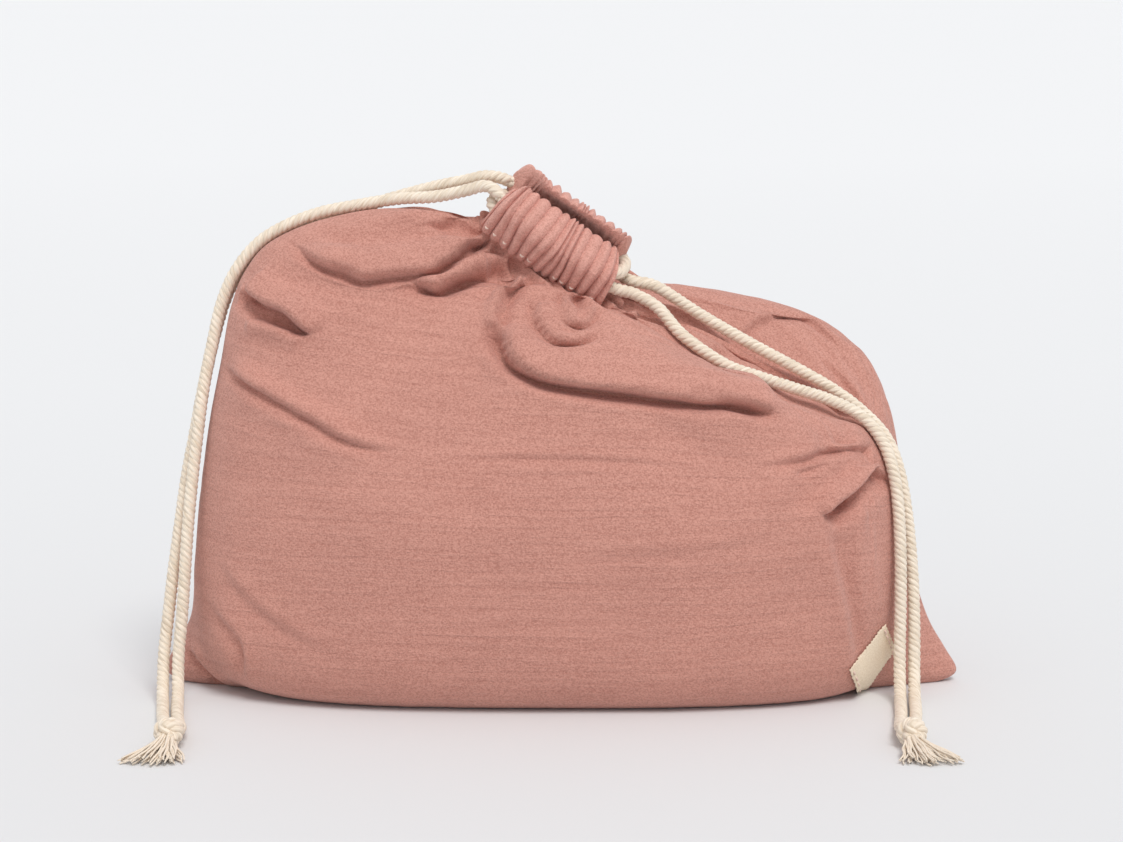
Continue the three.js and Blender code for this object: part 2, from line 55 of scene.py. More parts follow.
# The photograph's camera. The picture is 1123 by 842 pixels.
PICTURE_WIDTH = 1123
PICTURE_HEIGHT = 842
FOCAL_LENGTH_PIXELS = 2500
SENSOR_WIDTH_MM = 36
CAMERA_DISTANCE = 983 * MM
CAMERA_HEIGHT = 281 * MM
CAMERA_PITCH = math.radians(10.05)
CAMERA_PLACE = np.array([0, -CAMERA_DISTANCE, CAMERA_HEIGHT])

# The bag's driving sizes, from the frame
TOP_RING_SHARE = 1.01
BELLY_SHARE = 0.919
front_low, front_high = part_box("front_panel")
_, back_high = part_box("back_panel")
EAR_SPAN = front_high.x - front_low.x
BAG_DEPTH = back_high.y - front_low.y
ROOF_HEIGHT = back_high.z / TOP_RING_SHARE
BELLY_WIDTH = EAR_SPAN * BELLY_SHARE
EAR_PINCH_SHARE = 0.45
EAR_SPREAD_SHARE = 0.16
LOBE_LIFT = 28 * MM
LOBE_REACH = 16 * MM
CORD_DIAMETER = 5 * MM

# The gathered neck
NECK_LEFT = np.array([-26, -2, 199]) * MM
NECK_RIGHT = np.array([24, -2, 165]) * MM
NECK_DEPTH = 20 * MM
NECK_LEAN = math.radians(30)
NECK_TILT = math.radians(38)
NECK_ROUNDNESS = 0.8
NECK_NUDGE = math.radians(2)
NECK_STEPS = 400
END_LEAN = math.radians(2)
END_TILT = math.radians(4)
CHANNEL_HEIGHT = 22 * MM
CHANNEL_THICKNESS = 10.4 * MM
COLLAR_HEIGHT = 4 * MM
STITCH_DROP = 0.3 * MM
COLLAR_SWELL = 2.4 * MM
STITCH_SWELL = 3 * MM
TUCK_RISE = 2 * MM
TUCK_INSET = 1.5 * MM
END_TUCK_INSET = 9 * MM
CLOTH_THICKNESS = 1.2 * MM

# Rings of the body from the resting edge to just under the neck, as shares.
# heights: of the roof height, at the left seam, front, right seam and back
# sides: of half the belly width, left and right; spans: of half the ear span, or else 0
# depths: of half the depth, front and back; then the squareness and the right lobes' shares
RING_SHARES = [
    # heights                       sides           spans           depths         square lobe dip
    ((0, 0, 0, 0),                  (0.80, 0.78),   (0.95, 0.955),  (0.70, 0.72),  3.2, 0, 0),
    ((0.026, 0.021, 0.026, 0.021),  (0.90, 0.845),  (1, 1),         (0.83, 0.83),  3.0, 0, 0),
    ((0.074, 0.063, 0.074, 0.063),  (0.96, 0.885),  (0.98, 0.97),   (0.92, 0.92),  2.8, 0, 0),
    ((0.147, 0.142, 0.147, 0.142),  (0.993, 0.912), (0.937, 0.92),  (0.98, 0.97),  2.6, 0, 0),
    ((0.274, 0.263, 0.263, 0.263),  (1, 0.925),     (0, 0.875),     (1, 1),        2.5, 0, 0),
    ((0.42, 0.39, 0.38, 0.40),      (0.98, 0.918),  (0, 0),         (0.99, 0.99),  2.45, 0.25, 0),
    ((0.568, 0.505, 0.447, 0.537),  (0.952, 0.905), (0, 0),         (0.92, 0.957), 2.4, 0.6, 0),
    ((0.695, 0.605, 0.50, 0.653),   (0.918, 0.884), (0, 0),         (0.817, 0.887), 2.3, 0.84, 0),
    ((0.80, 0.69, 0.547, 0.737),    (0.891, 0.844), (0, 0),         (0.696, 0.765), 2.25, 0.82, 0),
    ((0.879, 0.753, 0.589, 0.80),   (0.85, 0.776),  (0, 0),         (0.574, 0.626), 2.2, 0.5, 0.3),
    ((0.942, 0.795, 0.637, 0.842),  (0.776, 0.673), (0, 0),         (0.47, 0.53),  2.1, 0.22, 0.36),
    ((0.989, 0.826, 0.70, 0.874),   (0.626, 0.517), (0, 0),         (0.365, 0.47), 2, 0.04, 0.36),
    ((TOP_RING_SHARE, 0.853, 0.768, 0.90), (0.422, 0.34),  (0, 0),         (0.296, 0.42), 2, 0, 0.2),
]
# Shares of the lowest ring's depth, from the bottom seam outwards, and the seam's shortening
BASE_SHARES = (0.0, 0.25, 0.5, 0.75)
SEAM_TAPER = 0.05

# The panels' rows and columns, closer together by the neck and by the side seams
SPACING_ANGLES = 61
PANEL_COLUMNS = 370
COLUMN_CROWDING = 0.72
ROW_STEP = 1.75 * MM
UPPER_ROW_STEP = 0.8 * MM
UPPER_FIRST_ROW = 9

# Routes of the cords in millimetres, the same as in the part's source
TAIL_ROUTES = {
    "left_front_tail": [
        (-23.4, -8.3, 196.9), (-24.8, -7.6, 198.4), (-27, -6.6, 200.2), (-31, -4.9, 200.9),
        (-38, -3, 198.9), (-50, -0.5, 196.4), (-64, 1.8, 195.4), (-80, 3.5, 192.8),
        (-95, 4, 189.8), (-108, 4, 185), (-119.6, 3.2, 178), (-128.8, 1.5, 167),
        (-134.6, -0.5, 154), (-138, -3.8, 139), (-141.2, -9, 122), (-143.4, -14, 104),
        (-145.4, -18, 86), (-147, -22, 68), (-148.2, -25, 50), (-149.5, -27, 33),
        (-150.8, -28.5, 20), (-151, -31, 10.5), (-150.4, -36, 4.9), (-149.8, -41.5, 3),
        (-149.1, -46.8, 2.8), (-147.6, -57, 2.8), (-145.4, -69, 2.9),
        (-143.2, -79, 4), (-142.7, -83.5, 5.6), (-142.6, -85.7, 5.6),
    ],
    "left_back_tail": [
        (-20.8, 2.7, 202.3), (-22.9, 2.2, 203.2), (-26.5, 1.6, 204.1), (-31, 1.6, 204.1),
        (-38, 3, 202.4), (-50, 6, 199.8), (-64, 8, 196), (-80, 9.5, 191.2), (-95, 10, 187),
        (-108, 9.5, 182.6), (-119, 8.5, 176), (-127.8, 7, 166.4), (-134, 5.5, 154.4),
        (-138.4, 2, 139), (-142, -3, 122), (-145.2, -8, 104), (-148.5, -12, 86),
        (-151, -16, 68), (-153.5, -19.5, 50), (-155.5, -22.5, 33), (-157, -25, 20),
        (-157.3, -28.5, 10.5), (-156.6, -35, 4.9), (-155.7, -41, 3),
        (-154.8, -46.3, 2.8), (-153.2, -57, 2.8), (-151, -69, 2.9),
        (-148.9, -79, 4), (-148.4, -83.5, 5.6), (-148.3, -85.7, 5.6),
    ],
    "right_front_tail": [
        (18.8, -6.7, 161.7), (20.8, -6.2, 160.8), (24, -5.6, 159.8), (29, -5.8, 158.4),
        (38, -9.5, 153.4), (47.4, -16.5, 143.6), (63.4, -21, 133), (77, -20.5, 127.9),
        (91.4, -17, 122.7), (106, -13.2, 117.4), (118.5, -13, 110.8), (126.6, -15.5, 101),
        (130.6, -19.8, 89), (132.4, -23.5, 74), (133.2, -26, 55), (133.4, -27, 38),
        (133.4, -27.8, 22), (133.3, -30, 11.5), (132.9, -35.5, 5), (132.4, -40.5, 3),
        (131.8, -45.8, 2.8), (130.6, -56, 2.8), (128.8, -68, 2.9),
        (127.3, -78, 4), (126.9, -83.5, 5.6), (126.8, -85.7, 5.6),
    ],
    "right_back_tail": [
        (21.4, 4.3, 167.1), (22.8, 3.6, 165.6), (25, 2.5, 163.9), (29, 1.2, 162.6),
        (38, 1.4, 160.4), (55.4, 2, 149.2), (75, 0.8, 138), (95, -1, 127.4),
        (108, -3, 120), (119, -6, 112), (128.3, -10, 102.2), (133.2, -14, 90),
        (136.2, -17.5, 74), (138.2, -20.5, 55), (139.2, -23, 38), (139.5, -25, 22),
        (139.3, -27.8, 11.5), (138.7, -34, 5), (138.1, -40.5, 3),
        (137.5, -45.8, 2.8), (136.3, -56, 2.8), (134.5, -68, 2.9),
        (133, -78, 4), (132.6, -83.5, 5.6), (132.5, -85.7, 5.6),
    ],
}

# The cords' plies, and the map of their yarn
PLY_COUNT = 3
PLY_RADIUS = 1.42 * MM
PLY_OFFSET = 1.12 * MM
LAY_LENGTH = 7.2 * MM
PLY_SIDES = 8
STEPS_PER_LAY = 12
CORD_STEP = LAY_LENGTH / STEPS_PER_LAY
FINE_STEPS = 60
ROUGHLY_UP = (0.0, 0.3, 1.0)
YARN_MAP_ALONG = 0.25
YARN_MAP_ROUND = 4
YARN_MAP_SHIFT = 7


# Materials

WHITE = (1, 1, 1, 1)
SPECULAR_LEVEL = 0.25
# Painted light: the floor's tones grow lighter with distance from the camera
FLOOR_TONES = [(0, (0.735, 0.738, 0.75, 1)), (0.32, (0.785, 0.788, 0.80, 1)),
               (0.98, (0.825, 0.828, 0.84, 1))]
FLOOR_TONE_SCALE = 0.3
FLOOR_TONE_SHIFT = 7.6
# How much of each pattern shows in the colours of cloth and label
CRINKLE_SHARE = 0.36
PATCH_SHARE = 0.45
STAIN_SHARE = 0.4


def srgb(red, green, blue):
    """A colour given as it looks on screen, from 0 to 255, as linear values."""
    def linear(value):
        share = value / 255
        return share / 12.92 if share <= 0.04045 else ((share + 0.055) / 1.055) ** 2.4

    return (linear(red), linear(green), linear(blue), 1)


class Finish:
    """A material built node by node, each one linked as it is made."""

    def __init__(self, name, roughness, sheen=0.0):
        self.material = bpy.data.materials.new(name)
        self.material.use_nodes = True
        self.tree = self.material.node_tree
        self.shader = self.tree.nodes["Principled BSDF"]
        self.shader.inputs["Roughness"].default_value = roughness
        self.shader.inputs["Sheen Weight"].default_value = sheen
        self.shader.inputs["Specular IOR Level"].default_value = SPECULAR_LEVEL

    def node(self, kind, values=None, **settings):
        made = self.tree.nodes.new(kind)
        for key, value in settings.items():
            setattr(made, key, value)
        for key, value in (values or {}).items():
            if isinstance(value, bpy.types.NodeSocket):
                self.tree.links.new(value, made.inputs[key])
            else:
                made.inputs[key].default_value = value
        return made

    def mapped(self, source, scale, turn=0.0):
        place = self.node("ShaderNodeTexCoord")
        return self.node("ShaderNodeMapping", {
            "Vector": place.outputs[source], "Scale": scale,
            "Rotation": (0, 0, turn)}).outputs["Vector"]

    def noise(self, source, scale, turn=0.0, detail=3.0, roughness=0.5, distortion=0.0):
        return self.node("ShaderNodeTexNoise", {
            "Vector": self.mapped(source, scale, turn), "Scale": 1, "Detail": detail,
            "Roughness": roughness, "Distortion": distortion}).outputs["Fac"]

    def ramp(self, factor, stops):
        made = self.node("ShaderNodeValToRGB", {"Fac": factor})
        elements = made.color_ramp.elements
        while len(elements) < len(stops):
            elements.new(0.5)
        for element, (position, colour) in zip(elements, stops):
            element.position = position
            element.color = colour
        return made.outputs["Color"]

    def math(self, operation, first, second):
        return self.node("ShaderNodeMath", {0: first, 1: second},
                         operation=operation).outputs["Value"]

    def mix(self, factor, first, second, blend="MIX"):
        """Two colours mixed. Such a node's colours have the inputs 6 and 7 and the output 2."""
        return self.node("ShaderNodeMix", {0: factor, 6: first, 7: second},
                         data_type="RGBA", blend_type=blend).outputs[2]

    def done(self, colour, bumps=()):
        """The material with its colour, and with bumps laid one on the other. Each has its
        pattern, its height in millimetres and its strength."""
        self.tree.links.new(colour, self.shader.inputs["Base Color"])
        target = self.shader
        for height, distance, strength in reversed(bumps):
            bump = self.node("ShaderNodeBump", {
                "Height": height, "Distance": distance * MM, "Strength": strength})
            self.tree.links.new(bump.outputs["Normal"], target.inputs["Normal"])
            target = bump
        return self.material


def gauze_finish(name, colour, shade):
    """Crinkled cotton double gauze. Its lines follow the cloth's map, in metres along its
    threads, and its grain is the same size on every slope."""
    cloth = Finish(name, roughness=0.92, sheen=0.18)
    crepe = cloth.noise("Object", (1350, 1350, 1650), detail=2, roughness=0.55, distortion=0.8)
    threads = cloth.noise("Object", (3200, 3200, 3200), detail=1)
    crinkle = cloth.noise("UV", (20, 330, 1), turn=0.03, roughness=0.6, distortion=0.5)
    columns = cloth.noise("UV", (300, 26, 1), turn=-0.05, detail=2, distortion=0.4)
    where = cloth.noise("UV", (13, 17, 1), detail=2)
    patches = cloth.noise("UV", (28, 34, 1))
    tones = [(0.38, shade), (0.58, colour)]
    lined = cloth.mix(cloth.math("MULTIPLY", where, CRINKLE_SHARE), cloth.ramp(crepe, tones),
                      cloth.ramp(crinkle, tones))
    patched = cloth.ramp(patches, [(0.3, (0.90, 0.90, 0.91, 1)), (0.7, WHITE)])
    return cloth.done(cloth.mix(PATCH_SHARE, lined, patched, "MULTIPLY"),
                      [(crinkle, 1.3, 0.55), (columns, 0.6, 0.35), (crepe, 0.4, 1),
                       (threads, 0.1, 0.4)])


def cord_finish(name, colour, shade):
    """Soft cotton yarn. The map runs along each ply in x and round it in y."""
    cord = Finish(name, roughness=0.85, sheen=0.3)
    fibres = cord.noise("UV", (420, 2.2, 1), roughness=0.6, distortion=0.4)
    fuzz = cord.noise("Object", (1700, 1700, 1700), detail=2)
    return cord.done(cord.ramp(fibres, [(0.3, shade), (0.62, colour)]),
                     [(fibres, 0.25, 0.5), (fuzz, 0.15, 0.35)])


def label_finish(name, colour, shade):
    """Plain woven label cloth."""
    label = Finish(name, roughness=0.8, sheen=0.1)
    weave = label.noise("UV", (1500, 2600, 1), detail=1)
    stains = label.noise("UV", (90, 90, 1))
    tone = label.ramp(weave, [(0.35, shade), (0.65, colour)])
    stained = label.ramp(stains, [(0.35, (0.93, 0.91, 0.87, 1)), (0.65, WHITE)])
    return label.done(label.mix(STAIN_SHARE, tone, stained, "MULTIPLY"),
                      [(weave, 0.15, 0.6)])


def floor_finish():
    """Plain pale floor, with painted light that makes it a little lighter in the distance."""
    floor = Finish("pale_floor", roughness=0.7)
    place = floor.mapped("Object", (FLOOR_TONE_SCALE,) * 3)
    away = floor.node("ShaderNodeSeparateXYZ", {"Vector": place}).outputs["Y"]
    return floor.done(floor.ramp(floor.math("ADD", away, FLOOR_TONE_SHIFT), FLOOR_TONES))


ROSE = gauze_finish("rose_gauze", srgb(215, 157, 142), srgb(183, 125, 111))
# The channel is the same gauze as the body, painted lighter: painted light against the shade that
# falls among its gathers
ROSE_HEM_PAINTED_LIGHT = gauze_finish("rose_gauze_hem_painted_light", srgb(230, 172, 158), srgb(204, 146, 132))
CREAM = cord_finish("cream_cotton_cord", srgb(246, 233, 216), srgb(214, 196, 173))
CREAM_YARN = cord_finish("cream_combed_yarn", srgb(248, 235, 219), srgb(222, 204, 181))
LABEL = label_finish("bare_label_cloth", srgb(248, 233, 211), srgb(232, 214, 188))
THREAD = cord_finish("topstitch_thread", srgb(238, 214, 200), srgb(214, 180, 166))


# Meshes from grids of points

def mesh_piece(name, points, faces, maps, material):
    """A smooth piece from points and faces, with a map of one pair of values per point."""
    mesh = bpy.data.meshes.new(name)
    mesh.from_pydata(np.asarray(points).tolist(), [], faces)
    layer = mesh.uv_layers.new(name="cloth_map")
    loop_points = np.zeros(len(mesh.loops), np.int32)
    mesh.loops.foreach_get("vertex_index", loop_points)
    layer.data.foreach_set("uv", np.asarray(maps, np.float32)[loop_points].ravel())
    mesh.polygons.foreach_set("use_smooth", np.ones(len(mesh.polygons), bool))
    mesh.materials.append(material)
    mesh.update()
    made = bpy.data.objects.new(name, mesh)
    bpy.context.scene.collection.objects.link(made)
    return made


def grid_faces(rows, columns, closed=False, first=0):
    """Quads of a grid of points, its last column joined to the first where it is closed."""
    row, column = np.meshgrid(
        np.arange(rows - 1), np.arange(columns if closed else columns - 1), indexing="ij")
    after = (column + 1) % columns
    corners = [row * columns + column, row * columns + after,
               (row + 1) * columns + after, (row + 1) * columns + column]
    return (np.stack(corners, -1).reshape(-1, 4) + first).tolist()


def tubes_piece(name, tubes, material):
    """A piece of tubes with closed ends: the rings of points of each one, and its map's values
    along and round it."""
    points, faces, maps, first = [], [], [], 0
    for rings, along, around in tubes:
        steps, sides = rings.shape[:2]
        faces += grid_faces(steps, sides, closed=True, first=first)
        faces.append([first + corner for corner in reversed(range(sides))])
        first += steps * sides
        faces.append([first - sides + corner for corner in range(sides)])
        points.append(rings.reshape(-1, 3))
        maps.append(np.stack([np.repeat(along, sides), np.tile(around, steps)], -1))
    return mesh_piece(name, np.concatenate(points), faces, np.concatenate(maps), material)


def catmull_rom(controls, shares):
    """Points on a smooth curve through rows of controls, at shares counted in rows."""
    controls = np.asarray(controls, float)
    start = np.clip(np.floor(shares).astype(int), 0, len(controls) - 2)
    shape = (-1,) + (1,) * (controls.ndim - 1)
    part = (np.asarray(shares) - start).reshape(shape)
    before = controls[np.maximum(start - 1, 0)]
    here, after = controls[start], controls[start + 1]
    beyond = controls[np.minimum(start + 2, len(controls) - 1)]
    return 0.5 * (2 * here + (after - before) * part
                  + (2 * before - 5 * here + 4 * after - beyond) * part ** 2
                  + (3 * here - before - 3 * after + beyond) * part ** 3)


def smooth_step(low, high, value):
    """0 up to the low value and 1 from the high value on."""
    share = np.clip((value - low) / (high - low), 0, 1)
    return share * share * (3 - 2 * share)


def lengths_along(line):
    """How far along a line each of its points lies."""
    return np.concatenate([[0], np.cumsum(np.linalg.norm(np.diff(line, axis=0), axis=1))])


def above_floor(points):
    """The points, lifted to the floor where they lie lower."""
    return points * [1, 1, 0] + np.maximum(points * [0, 0, 1], 0)


def unit(vectors):
    """The vectors at length 1. The tiny number keeps one without length from a division by 0."""
    return vectors / np.maximum(np.linalg.norm(vectors, axis=-1, keepdims=True), 1e-12)


# The camera's picture

def in_picture(points):
    """Where points show in the photograph, in its pixels."""
    cosine, sine = math.cos(CAMERA_PITCH), math.sin(CAMERA_PITCH)
    away = points - CAMERA_PLACE
    depth = away @ np.array([0, cosine, -sine])
    across = PICTURE_WIDTH / 2 + FOCAL_LENGTH_PIXELS * away[..., 0] / depth
    down = PICTURE_HEIGHT / 2 - FOCAL_LENGTH_PIXELS * (away @ np.array([0, sine, cosine])) / depth
    return np.stack([across, down], -1)


def make_camera():
    data = bpy.data.cameras.new("camera")
    data.sensor_width = SENSOR_WIDTH_MM
    data.lens = SENSOR_WIDTH_MM * FOCAL_LENGTH_PIXELS / PICTURE_WIDTH
    camera = bpy.data.objects.new("camera", data)
    camera.location = CAMERA_PLACE
    camera.rotation_euler = (math.pi / 2 - CAMERA_PITCH, 0, 0)
    bpy.context.scene.collection.objects.link(camera)
    bpy.context.scene.camera = camera


# Cords

def even_line(route):
    """A smooth line through a route in millimetres, with even steps, and the places along it,
    all in metres."""
    route = np.array(route, float) * MM
    fine = catmull_rom(route, np.linspace(0, len(route) - 1, FINE_STEPS * len(route)))
    along = lengths_along(fine)
    count = max(int(round(along[-1] / CORD_STEP)), 2)
    places = np.linspace(0, along[-1], count + 1)
    return np.stack([np.interp(places, along, fine[:, axis]) for axis in range(3)], -1), places


def frames_along(line):
    """Two directions across a line at each point, carried on without twist."""
    tangents = unit(np.gradient(line, axis=0))
    side = unit(np.cross(tangents[0], ROUGHLY_UP))
    sides = [side]
    for tangent in tangents[1:]:
        side = side - tangent * (side @ tangent)
        side = side / np.linalg.norm(side)
        sides.append(side)
    return np.array(sides), np.cross(tangents, sides)


def tube_points(line, radii, sides_count):
    """Rings of points round a line."""
    across, over = frames_along(line)
    turns = 2 * np.pi * np.arange(sides_count) / sides_count
    radii = np.broadcast_to(radii, len(line))[:, None, None]
    ring = (across[:, None] * np.cos(turns)[None, :, None]
            + over[:, None] * np.sin(turns)[None, :, None])
    return line[:, None] + radii * ring


def twisted_cord(name, route, thickness=1.0):
    """Three plies twisted round a route: the piece, its line and its length."""
    line, places = even_line(route)
    across, over = frames_along(line)
    plies = []
    for ply in range(PLY_COUNT):
        turn = -2 * np.pi * (places / LAY_LENGTH + ply / PLY_COUNT)
        offset = PLY_OFFSET * thickness
        centre = line + offset * (across * np.cos(turn)[:, None] + over * np.sin(turn)[:, None])
        around = np.arange(PLY_SIDES) / PLY_SIDES * YARN_MAP_ROUND + ply * YARN_MAP_SHIFT
        plies.append((tube_points(centre, PLY_RADIUS * thickness, PLY_SIDES),
                      places * YARN_MAP_ALONG, around))
    return tubes_piece(name, plies, CREAM), line, places[-1]


# The bag's form

# The angle at which each half of the bag starts. Angles run from the right seam through the back.
HALF_START = {"front": math.pi, "back": 0.0}


def neck_frame(angles):
    """Places round the neck: a point at half height, the way up, out and onward."""
    along = (NECK_RIGHT - NECK_LEFT) / 2
    middle = (NECK_RIGHT + NECK_LEFT) / 2

    def leaning(lean, tilt):
        return np.array([math.sin(tilt) * math.cos(lean), -math.sin(lean),
                         math.cos(tilt) * math.cos(lean)])

    roundness = (np.sin(angles) ** 2)[:, None]
    full_lean = leaning(NECK_LEAN, NECK_TILT)
    up = unit(leaning(END_LEAN, END_TILT) * (1 - roundness) + full_lean * roundness)
    across = unit(np.cross(full_lean, along))

    def point_at(turns):
        cosine, sine = np.cos(turns)[:, None], np.sin(turns)[:, None]
        return (middle + along * np.sign(cosine) * np.abs(cosine) ** NECK_ROUNDNESS
                + across * NECK_DEPTH / 2 * np.sign(sine) * np.abs(sine) ** NECK_ROUNDNESS)

    onward = unit(point_at(angles + NECK_NUDGE) - point_at(angles - NECK_NUDGE))
    out = unit(np.cross(onward, up))
    return point_at(angles), unit(np.cross(out, onward)), out, onward


def either(is_second, pair):
    """The first or else the second value of a pair, point by point."""
    return np.where(is_second, pair[1], pair[0])


def ring_points(shares, angles, base_share=1.0):
    """One ring of the body."""
    heights, sides, spans, depths, square, lobe, dip = shares
    cosine, sine = np.cos(angles), np.sin(angles)
    right, rear = cosine >= 0, sine >= 0
    bend = 2 / square
    side = BELLY_WIDTH / 2 * either(right, sides)
    ear = np.maximum(EAR_SPAN / 2 * either(right, spans) - side, 0)
    near_seam = np.exp(-(sine / EAR_SPREAD_SHARE) ** 2)
    corner = np.sin(2 * angles) * right
    back_right, front_right = np.maximum(corner, 0), np.maximum(-corner, 0)
    pinch = 1 - EAR_PINCH_SHARE * near_seam * (ear > 0)
    x = (np.sign(cosine) * (side * np.abs(cosine) ** bend + ear * near_seam)
         * (1 - SEAM_TAPER * (1 - base_share)) + LOBE_REACH * lobe * back_right)
    y = (np.sign(sine) * BAG_DEPTH / 2 * either(rear, depths)
         * np.abs(sine) ** bend * pinch * base_share)
    level = either(right, heights[::2]) * cosine ** 2 + either(rear, heights[1::2]) * sine ** 2
    z = ROOF_HEIGHT * level + LOBE_LIFT * (lobe * back_right - dip * front_right)
    return np.stack([x, y, z], -1)


def panel_angles(side, columns):
    """The angles of one panel's columns, from seam to seam."""
    share = np.arange(columns + 1) / columns
    eased = share - COLUMN_CROWDING * np.sin(2 * np.pi * share) / (2 * np.pi)
    return HALF_START[side] + np.pi * eased


def panel_controls(angles):
    """Rows of places from the bottom seam to the stitch line, at the angles given."""
    controls = [ring_points(RING_SHARES[0], angles, share) for share in BASE_SHARES]
    controls += [ring_points(shares, angles) for shares in RING_SHARES]
    point, up, out, _ = neck_frame(angles)
    roundness = (np.sin(angles) ** 2)[:, None]
    for drop, swell in ((COLLAR_HEIGHT, COLLAR_SWELL), (STITCH_DROP, STITCH_SWELL)):
        outward = CLOTH_THICKNESS / 2 + (swell - CLOTH_THICKNESS / 2) * roundness
        controls.append(point - up * (CHANNEL_HEIGHT / 2 + drop) + out * outward)
    inset = TUCK_INSET + (END_TUCK_INSET - TUCK_INSET) * (np.cos(angles) ** 4)[:, None]
    controls.append(point - up * (CHANNEL_HEIGHT / 2 - TUCK_RISE) - out * inset)
    return np.array(controls)


def panel_grid(side):
    """Points of one panel. Both panels have the same rows, so that they meet at the seams."""
    around = panel_controls(np.linspace(0, 2 * np.pi, SPACING_ANGLES))
    spacing = np.linalg.norm(np.diff(around, axis=0), axis=2).mean(axis=1)
    shares = [0.0]
    for row, space in enumerate(spacing):
        step = UPPER_ROW_STEP if row >= UPPER_FIRST_ROW else ROW_STEP
        count = max(int(round(space / step)), 2)
        shares += [row + (number + 1) / count for number in range(count)]
    grid = catmull_rom(panel_controls(panel_angles(side, PANEL_COLUMNS)), np.array(shares))
    grid[..., 2] = np.maximum(grid[..., 2], 0)
    return grid


def below_neck(grid):
    """How far along the cloth each point lies below the neck."""
    steps = np.linalg.norm(np.diff(grid, axis=0), axis=2)
    top = np.zeros((1, grid.shape[1]))
    return np.cumsum(np.concatenate([top, steps[::-1]]), axis=0)[::-1]


def join_panels(front, back):
    """Both panels as one closed ring of columns, from the left seam round by the front."""
    return np.concatenate([front, back[:, 1:-1]], axis=1)


def part_panels(ring):
    """Both panels of a ring, with the columns at the seams in each of them."""
    half = ring.shape[1] // 2
    return {"front": ring[:, :half + 1],
            "back": np.concatenate([ring[:, half:], ring[:, :1]], axis=1)}


def ring_normals(ring):
    """The way out of the cloth at each point."""
    along = np.roll(ring, -1, axis=1) - np.roll(ring, 1, axis=1)
    return unit(np.cross(along, np.gradient(ring, axis=0)))


def soften(ring, times, share=0.5):
    """Evens a ring's values out a little, those of its top and bottom edges held."""
    for _ in range(times):
        beside = np.roll(ring, 1, axis=1) + np.roll(ring, -1, axis=1)
        mean = (ring[:-2] + ring[2:] + beside[1:-1]) / 4
        ring[1:-1] += share * (mean - ring[1:-1])
    return ring


def cloth_map(grid):
    """Metres along the cloth's threads, at each point of a panel."""
    across = lengths_along(grid[len(grid) // 3])
    along = lengths_along(grid[:, grid.shape[1] // 2])
    return np.stack(np.broadcast_arrays(across[None, :], along[:, None]), -1)


# Folds of the cloth

# Crests of the gathers along each half of the neck, as shares of its length
PLEAT_CRESTS = {
    "front": (0.0, 0.055, 0.10, 0.165, 0.215, 0.28, 0.33, 0.395, 0.44, 0.505, 0.55, 0.61,
              0.655, 0.715, 0.765, 0.82, 0.87, 0.925, 1.0),
    "back": (0.0, 0.05, 0.095, 0.15, 0.20, 0.24, 0.29, 0.33, 0.38, 0.42, 0.465, 0.505, 0.55,
             0.595, 0.635, 0.68, 0.72, 0.77, 0.81, 0.86, 0.90, 0.95, 1.0),
}
# How far below the stitch line each long gather runs, in millimetres, by its crest's number
LONG_GATHERS = {
    "front": {1: 70, 3: 46, 4: 30, 6: 26, 8: 34, 10: 24, 12: 30, 13: 24, 15: 40, 17: 62},
    "back": {1: 70, 3: 40, 6: 55, 8: 30, 11: 60, 14: 36, 16: 58, 19: 34, 21: 66},
}
CREST_ROUNDNESS = 0.7
PLEAT_DEPTH = 2.2 * MM
PLEAT_REACH = 10 * MM
PLEAT_FADE_BEND = 1.5
GATHER_START = 3 * MM
LONG_GATHER_RISE = {"front": 3.6 * MM, "back": 5.4 * MM}
LONG_GATHER_START = 8 * MM
LONG_GATHER_FULL = 0.35
LONG_GATHER_WIDTH = 0.028
LONG_GATHER_LEAN = 0.012
LONG_GATHER_LEAN_TURN = 1.7
LONG_GATHER_BEND = 20 * MM
RIDGE_SHARE = 1.5
HOLLOW_SHARE = 0.75

# Steps of a fold's line for each of its points
FOLD_STEPS = 4
# Folds fade out this near to the neck, and where the cloth is seen this nearly edge on
FOLD_START = 15 * MM
FOLD_NEAREST = 0.3 * FOLD_START
EDGE_ON_SHARE = 0.3


def fold(line, rise=0, reach=30, sink=0, fade=30, soft=2.0, slump=0, groove=0, width=4,
         taper=(0.2, 0.2)):
    """A fold seen in the photograph. Its line is in the picture's pixels, from left to right,
    and so are its widths. What lies above the line rises and slumps over it, and what lies
    below sinks, all in millimetres. A groove runs along the line."""
    places = np.linspace(0, len(line) - 1, FOLD_STEPS * len(line))
    return {"line": catmull_rom(line, places), "rise": rise * MM, "reach": reach, "sink": sink * MM,
            "fade": fade, "soft": soft, "slump": slump * MM, "groove": groove * MM,
            "width": width, "taper": taper}


